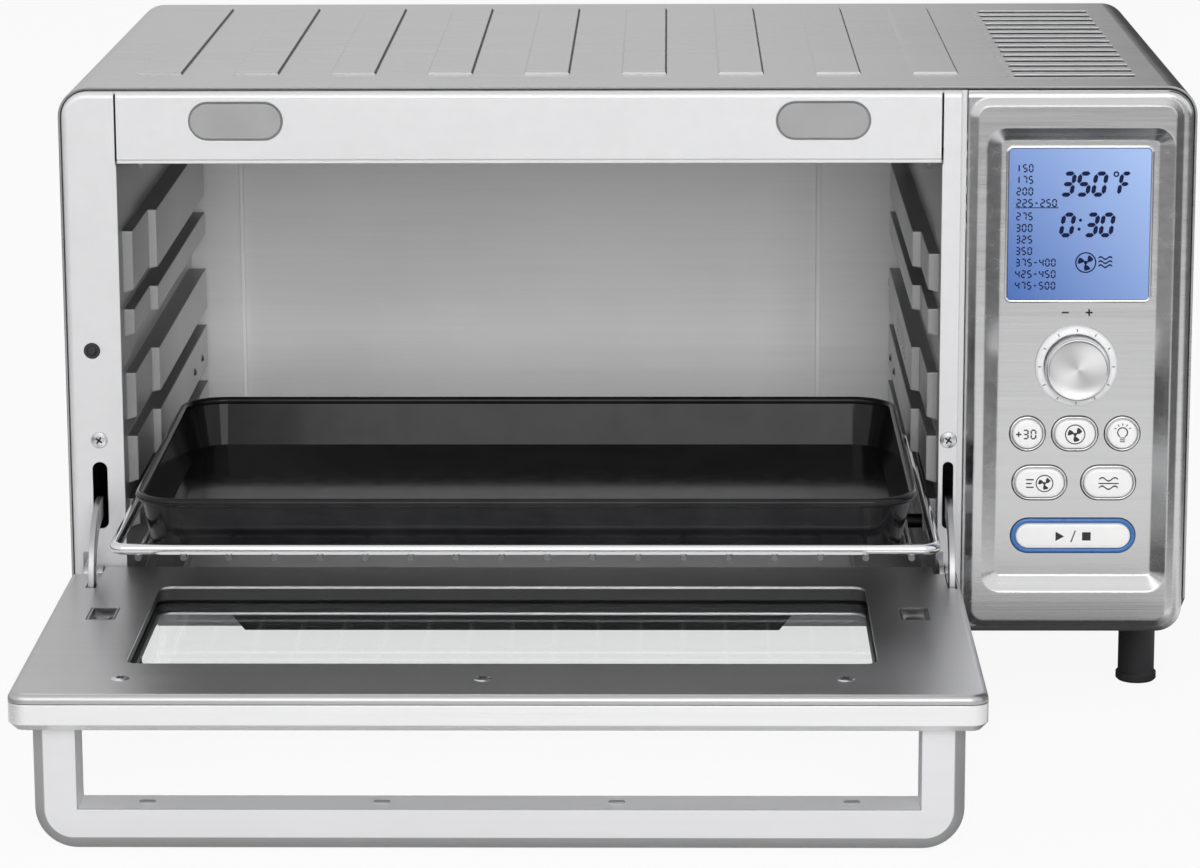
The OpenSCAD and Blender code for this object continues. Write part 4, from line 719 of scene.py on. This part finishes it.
# Push buttons: pearl white caps with softly crowned faces, each in a slim bright ring.
# Plain signs for time, fan, lamp and heat are printed on them; the long one starts and stops.
pearl, nacre = new_material("pearl")
nacre_place = object_place(nacre)
nacre_pores = noise(nacre, nacre_place, scale=2400.0, detail=1.0)
nacre_tone = smears(nacre, nacre_place, size=220.0, amount=0.05)["Tone"]
skinned(nacre, Base_Color=tinted(nacre, (0.82, 0.82, 0.815), nacre_tone), Roughness=0.28, Coat_Weight=0.3,
        Normal=bumped(nacre, nacre_pores, strength=0.05, deep=0.1))
ring_chrome = polished("ring_chrome", (0.80, 0.80, 0.81), rough=0.18)
ring_blue = moulded("ring_blue", (0.04, 0.15, 0.42), rough=0.3, grain=1800, bumpiness=0.05, coat=0.4)


def lamp_mark(x, z):
    bulb_z = z + 0.9
    foot = [bar_mark(x, z - 1.675 - 0.9 * k, 2.4, 0.45) for k in range(3)]
    rays = []
    for degrees in (30, 60, 90, 120, 150):
        c, s = math.cos(math.radians(degrees)), math.sin(math.radians(degrees))
        ends = ((3.3, 0.2), (3.3, -0.2), (4.4, -0.2), (4.4, 0.2))
        rays.append([(x + out * c - side * s, bulb_z + out * s + side * c) for out, side in ends])
    return arc_band(x, bulb_z, 2.3, 0.55, -60, 240) + foot + rays


def heat_mark(x, z):
    waves = [band for rise in (2.0, -2.0) for band in wave_band(x - 4.4, x + 4.4, z + rise, 0.8, 0.7)]
    return waves + [bar_mark(x, z, 9.4, 0.55)]


def ringed_fan(x, z, r, ring_r):
    return fan_mark(x, z, r) + arc_band(x, z, ring_r, 0.5, n=28)


def speed_mark(x, z):
    lines = [bar_mark(x - 4.6 - 0.5 * k, z + d, 3.6 - k, 0.6) for k, d in ((0, 1.8), (1, 0), (0, -1.8))]
    return ringed_fan(x + 2.2, z, 3.4, 3.9) + lines


def start_mark(x, z):
    play = [(x - 8.2, z - 2.3), (x - 4.2, z), (x - 8.2, z + 2.3)]
    stroke = [(x - 1.3, z - 2.8), (x - 0.7, z - 2.8), (x + 1.3, z + 2.8), (x + 0.7, z + 2.8)]
    return [play, stroke, bar_mark(x + 6.2, z, 4.0, 4.0)]


def time_mark(x, z):
    plus = [bar_mark(x - 4.2, z, 2.5, 0.6), bar_mark(x - 4.2, z, 0.6, 2.5)]
    size = (2.1, 4.0, 0.65)
    tens = segment_digit("3", x - 2.0, z - 2.0, size, slant=0.0)
    ones = segment_digit("0", x + 1.6, z - 2.0, size, slant=0.0)
    return plus + tens + ones


def convection_mark(x, z):
    return ringed_fan(x, z, 4.0, 4.5)


def button_band(name, centre, size, steps):
    # a closed band round a button; each step is how far out it is and how far before the field
    return loft(name, [outline_ring(centre, size, size[1] / 2, -out, field_y - rise, n=12)
                       for out, rise in steps], closed=True)


buttons = (("timer", time_mark), ("convection", convection_mark), ("lamp", lamp_mark), ("speed", speed_mark),
           ("dual", heat_mark), ("start", start_mark))
button_ink = moulded("button_ink", (0.020, 0.020, 0.022), rough=0.5, grain=2500, bumpiness=0.05)
# behind the panel each cap has a flange, wider than the hole on every side
flange_over, flange_front, flange_back = 1.5, field_y + 1.5, field_y + 3.0
# a thin dark ring just outside each trim is a painted shadow at the trim's foot
shadow_ring_steps = ((1.25, 0), (1.25, 0.1), (1.7, 0.08), (1.7, 0))
trim_out = 1.3
small_trims, shadow_rings = [], []
for key, mark in buttons:
    low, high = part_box(key + "_button")
    centre = middle_of(low, high)
    size = [(end - start) / MM - 2 * flange_over for start, end in zip(low.xz, high.xz)]
    face = low.y / MM
    # the long button is a little narrower, and its blue trim a little wider
    slim, trim_in = (1.0, -0.75) if key == "start" else (0.0, 0.3)
    cap_steps = ((-flange_over, flange_back), (-flange_over, flange_front), (slim, flange_front),
                 (slim, face + 1.1), (slim + 0.15, face + 0.65), (slim + 0.5, face + 0.3),
                 (slim + 1.1, face + 0.12), (slim + 2.2, face + 0.05), (4.5, face), (6.2, face))
    cap_rings = [outline_ring(centre, size, size[1] / 2, inset, y, n=12) for inset, y in cap_steps]
    cap_mesh = loft(key + "_cap", cap_rings)
    cap = add_piece(key + "_cap", cap_mesh, pearl, key + "_key", smooth=True)
    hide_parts(key + "_button")
    flat_marks(key + "_sign", mark(*centre), low.y, button_ink, key + "_key")
    shadow_rings.append(button_band(key + "_shadow_ring", centre, size, shadow_ring_steps))
    trim_steps = ((trim_out, 0), (trim_out, 0.6), (trim_out - 0.15, 0.95), ((trim_in + trim_out) / 2, 1.15),
                  (trim_in + 0.15, 0.95), (trim_in, 0.6), (trim_in, 0))
    trim_mesh = button_band(key + "_trim", centre, size, trim_steps)
    if key == "start":
        start_trim = add_piece("start_trim", trim_mesh, ring_blue, "housing", smooth=True)
        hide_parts("start_ring")
    else:
        small_trims.append(trim_mesh)


def joined(name, meshes):
    whole = bmesh.new()
    for mesh in meshes:
        whole.from_mesh(mesh)
    one = bpy.data.meshes.new(name)
    whole.to_mesh(one)
    whole.free()
    return one


shadow_rings_mesh = joined("button_shadow_rings", shadow_rings)
add_piece("button_shadow_rings", shadow_rings_mesh, button_ink, "housing", smooth=True)
trims_mesh = joined("button_trims", small_trims)
button_trims = add_piece("button_trims", trims_mesh, ring_chrome, "housing", smooth=True)
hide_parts("button_rings")
# a minus and a plus stand between the window and the dial
sign_z, sign_off, sign_length, sign_width = (window_low.z + ring_high.z) / 2 / MM, 5.5, 3.2, 0.8
signs = [bar_mark(dial_x - sign_off, sign_z, sign_length, sign_width),
         bar_mark(dial_x + sign_off, sign_z, sign_length, sign_width),
         bar_mark(dial_x + sign_off, sign_z, sign_width, sign_length)]
flat_marks("panel_signs", signs, field_y * MM, button_ink, "housing")

# Board behind the panel: a green glass-fibre board with the switches that the buttons meet.
# It is out of sight, and only its own finish is needed.
board_green = moulded("board_green", (0.03, 0.16, 0.07), rough=0.4, grain=500, bumpiness=0.1)
dress(board_green, "control_board")

# Cavity: satin steel liner sheets, with guides for the rack pressed into both side walls.
# The walls carry painted shade, darker towards the front and on the ledges of the guides; two rivets hold
# each.
# Two laps run down the back wall, where its sheets meet, painted near white as highlights.
# painted shade: darker towards the opening, and darker on the faces that look up, the ledges of the guides
liner_steel = brushed_metal("liner_steel", (0.66, 0.66, 0.665), LAY_Z, rough=0.36, spread=0.12, edge=1.2,
                            marks=0.2, metallic=0.45, shade=(-54, 110, 0.42))
painted_shade_by_facing(liner_steel, ((0.0, 0.35), (0.3, 0.35), (0.7, 1.0)), way=(0, 0, 1))
dress(liner_steel, "liner_left", "liner_right", "tray_rails", "liner_top")
liner_back_steel = brushed_metal("liner_back_steel", (0.92, 0.92, 0.925), LAY_X, rough=0.45, spread=0.08,
                                 edge=1.0, marks=0.2, metallic=0.2)
dress(liner_back_steel, "liner_back")


def rivet_tree():
    tree, takes, gives = named_tree("rivet_row", Count="Int", Start="Vector", Step="Vector", Radius="Float",
                                    Turn="Vector", Metal="Material")
    row = put(tree, "GeometryNodeMeshLine",
              {"Count": takes["Count"], "Start Location": takes["Start"], "Offset": takes["Step"]})
    head = put(tree, "GeometryNodeMeshCone",
               {"Vertices": 16, "Radius Top": maths(tree, "MULTIPLY", takes["Radius"], 0.55),
                "Radius Bottom": takes["Radius"], "Depth": maths(tree, "MULTIPLY", takes["Radius"], 0.5)})
    many = put(tree, "GeometryNodeInstanceOnPoints",
               {"Points": row.outputs[0], "Instance": head.outputs["Mesh"], "Rotation": takes["Turn"]})
    finish_tree(tree, gives, many.outputs[0], takes["Metal"])
    return tree


rivet_row = rivet_tree()
rivet_steel = brushed_metal("rivet_steel", (0.45, 0.45, 0.46), even(300), rough=0.25, spread=0.08, edge=0.3)
rivet_y, rivet_z, rivet_step, rivet_r = 168 * MM, 119 * MM, 36 * MM, 2.2 * MM
for side, wall_x, tilt in (("left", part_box("liner_left")[1].x, math.pi / 2),
                           ("right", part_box("liner_right")[0].x, -math.pi / 2)):
    grow(side + "_rivets", rivet_row, "housing",
         {"Count": 2, "Start": (wall_x, rivet_y, rivet_z), "Step": (0, rivet_step, 0), "Radius": rivet_r,
          "Turn": (0, tilt, 0), "Metal": rivet_steel})
# painted highlight: a near-white, non-metal finish stands in for the light caught on the bends
lap_painted_highlight = brushed_metal("lap_painted_highlight", (0.97, 0.97, 0.975), LAY_Z, rough=0.45, spread=0.05, edge=0.2,
                           metallic=0.0)
wall_low, wall_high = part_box("liner_back")
lap_w, lap_t, lap_short = 1.8 * MM, 0.4 * MM, 2 * MM
lap_left, lap_right = wall_low.x + 27.6 * MM, wall_high.x - 46.2 * MM
laps = bmesh.new()
for lap_x in (lap_left, lap_right):
    lap = bmesh.ops.create_cube(laps, size=1.0)["verts"]
    bmesh.ops.scale(laps, verts=lap, vec=(lap_w, lap_t, wall_high.z - wall_low.z - lap_short))
    bmesh.ops.translate(laps, verts=lap, vec=(lap_x, wall_low.y - lap_t / 2, (wall_low.z + wall_high.z) / 2))
lap_mesh = bpy.data.meshes.new("lap_edges")
laps.to_mesh(lap_mesh)
laps.free()
add_piece("lap_edges", lap_mesh, lap_painted_highlight, "housing")

# Heating rods: sheathed elements, two above and two below, in ceramic bushes.
# The sheaths are dark and dull from heat.
rod_sheath = brushed_metal("rod_sheath", (0.10, 0.095, 0.09), LAY_X, rough=0.5, spread=0.2, marks=0.5)
dress(rod_sheath, "upper_elements", "lower_elements")
ceramic = moulded("ceramic", (0.72, 0.69, 0.63), rough=0.45, grain=900, bumpiness=0.1)
dress(ceramic, "element_insulators", "lamp_socket")

# Oven lamp: a small bulb behind a pressed glass cup high on the right wall.
# The cup is clear and slightly rippled.


def clear_glass(name, colour, rough, ripple, bend):
    material, tree = new_material(name)
    place = object_place(tree)
    swell = noise(tree, place, scale=30.0, detail=1.0)
    film = smears(tree, place, size=14.0, amount=0.04)["Tone"]
    skinned(tree, Base_Color=tinted(tree, colour, film), Roughness=rough, Transmission_Weight=1.0, IOR=bend,
            Normal=bumped(tree, swell, ripple, deep=0.1))
    return material


lamp_glass = clear_glass("lamp_glass", (0.93, 0.95, 0.94), rough=0.08, ripple=0.2, bend=1.47)
dress(lamp_glass, "lamp_cover", "lamp_bulb")

# Fan: a pressed wheel behind the slots in the right wall, on its motor's shaft.
# Plain grey steel, seen only through the slots.
wheel_steel = brushed_metal("wheel_steel", (0.38, 0.38, 0.39), even(200), rough=0.4, spread=0.12)
dress(wheel_steel, "fan_wheel", "fan_motor")

# Hinges: steel brackets and pins at the door's rear corners, with curved arms through the front.
# They are bright zinc, a little darker than the sheet round them.
hinge_zinc = brushed_metal("hinge_zinc", (0.42, 0.42, 0.43), even(160), rough=0.34, spread=0.10, edge=0.3)
dress(hinge_zinc, "hinge_brackets", "hinge_arms")

# Door: a bright outer pan and a brushed inner sheet, screwed together round the glass.
# The inner sheet's grain runs from side to side, and the outer pan is paler and smoother.
door_inner_steel = brushed_metal("door_inner_steel", (0.50, 0.50, 0.505), LAY_X, rough=0.34, spread=0.18)
dress(door_inner_steel, "door_inner_panel")
door_outer_steel = brushed_metal("door_outer_steel", (0.84, 0.84, 0.845), LAY_X, rough=0.30, spread=0.08,
                                 edge=0.8, metallic=0.8)
dress(door_outer_steel, "door_outer_panel")
window_glass = clear_glass("window_glass", (0.95, 0.97, 0.965), rough=0.0, ripple=0.02, bend=1.14)
dress(window_glass, "door_glass")
# painted shade: the catches are made darker all over, so that their recesses read as shaded
catch_shaded_zinc = brushed_metal("catch_shaded_zinc", (0.26, 0.26, 0.265), even(160), rough=0.30, spread=0.12, edge=0.2)
dress(catch_shaded_zinc, "rack_hooks")
seal_black = moulded("seal_black", (0.02, 0.02, 0.021), rough=0.55, grain=1500, bumpiness=0.2)
dress(seal_black, "glass_gasket")

# Handle: one square loop of brushed aluminium with chamfered edges, screwed under the door's free edge.
# Four small oval plugs close the screw holes along its lower bar.
handle_alloy = brushed_metal("handle_alloy", (0.92, 0.92, 0.936), LAY_X, rough=0.42, spread=0.05,
                             metallic=0.25, depth=0.05)
# painted shade: the front face is toned down and the chamfers darker still, while faces square to the front
# keep the full colour
painted_shade_by_facing(handle_alloy, ((0.06, 0.71), (0.12, 0.38), (0.60, 0.38), (0.80, 1.0)))
handle_low, handle_high = (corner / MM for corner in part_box("door_handle"))
handle_bar, handle_r = 19.0, 18.0
handle_deep = handle_high.y - handle_low.y
leg_cut, bar_cut, cut_deep, back_cut, eased = 5.0, 6.4, 6.4, 3.5, 0.4


def bar_row(side, spot, cut):
    # spot tells how far a point of the section is in from the handle's side and up from its foot;
    # the section itself says how far in from the outer edge, and how far back from the front face
    section = ((handle_bar, eased), (handle_bar - eased, 0), (cut, 0), (cut - eased, eased / 2),
               (eased / 2, cut_deep - eased), (0, cut_deep), (0, handle_deep - back_cut),
               (back_cut, handle_deep), (handle_bar - eased, handle_deep), (handle_bar, handle_deep - eased))
    row = []
    for inward, back in section:
        across, up = spot(inward)
        x = handle_low.x + across if side == "left" else handle_high.x - across
        row.append((x * MM, (handle_low.y + back) * MM, (handle_low.z + up) * MM))
    return row


def on_leg(up):
    return lambda inward: (inward, up)


def on_bar(across):
    return lambda inward: (across, inward)


def on_corner(turn):
    # the outside goes round, and the inside stays a square corner
    return lambda inward: ((inward, inward) if inward > handle_r / 2 else
                           on_circle(handle_r, handle_r, inward - handle_r, turn))


half_loop = [(on_leg(handle_high.z - handle_low.z), leg_cut), (on_leg(handle_bar), leg_cut)]
corner_steps = 20
for i in range(corner_steps + 1):
    share = i / corner_steps
    half_loop.append((on_corner(math.pi / 2 * share), leg_cut + (bar_cut - leg_cut) * share))
half_loop.append((on_bar(handle_bar), bar_cut))
left_rows = [bar_row("left", spot, cut) for spot, cut in half_loop]
right_rows = [bar_row("right", spot, cut) for spot, cut in reversed(half_loop)]
handle_mesh = loft("handle", left_rows + right_rows)
handle = add_piece("handle", handle_mesh, handle_alloy, "door", smooth=True)
handle_mesh.set_sharp_from_angle(angle=math.radians(25))
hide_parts("door_handle")
dress(pad_grey, "handle_plugs")

# Rack: bright plated wire, a thick rim with thin wires welded under it.
# The plating is nearly a mirror, and the cut ends that face the front are darkened with painted shade.
rack_chrome = polished("rack_chrome", (0.72, 0.72, 0.73), rough=0.10)
# painted shade on faces that look straight to the front, the cut ends of the wires
painted_shade_by_facing(rack_chrome, ((0.0, 0.18), (0.0005, 0.18), (0.002, 1.0)))
dress(rack_chrome, "wire_rack")

# Baking pan: drawn steel, enamelled in glossy black inside and out, with a rolled rim.
# The enamel is smooth, with the faintest orange peel and cloud.
pan_enamel, enamel = new_material("pan_enamel")
enamel_place = object_place(enamel)
enamel_peel = noise(enamel, enamel_place, scale=120.0, detail=1.0)
enamel_colour = ramp(enamel, noise(enamel, enamel_place, scale=45.0, detail=2.0),
                     ((0.35, (0.006, 0.006, 0.007)), (0.75, (0.014, 0.014, 0.015))))
enamel_rough = spread_over(enamel, enamel_peel, (0.0, 1.0), (0.08, 0.16))
skinned(enamel, Base_Color=enamel_colour, Roughness=enamel_rough, Specular_IOR_Level=0.18, Coat_Weight=0.08,
        Normal=bumped(enamel, enamel_peel, strength=0.03, deep=0.2))
dress(pan_enamel, "baking_pan")

# Crumb tray: a shallow folded tray under the lower rods, drawn out by a black grip.
# Satin zinc sheet, with the grip moulded in black.
dress(zinc_sheet, "crumb_tray")
dress(black_plastic, "tray_grip")
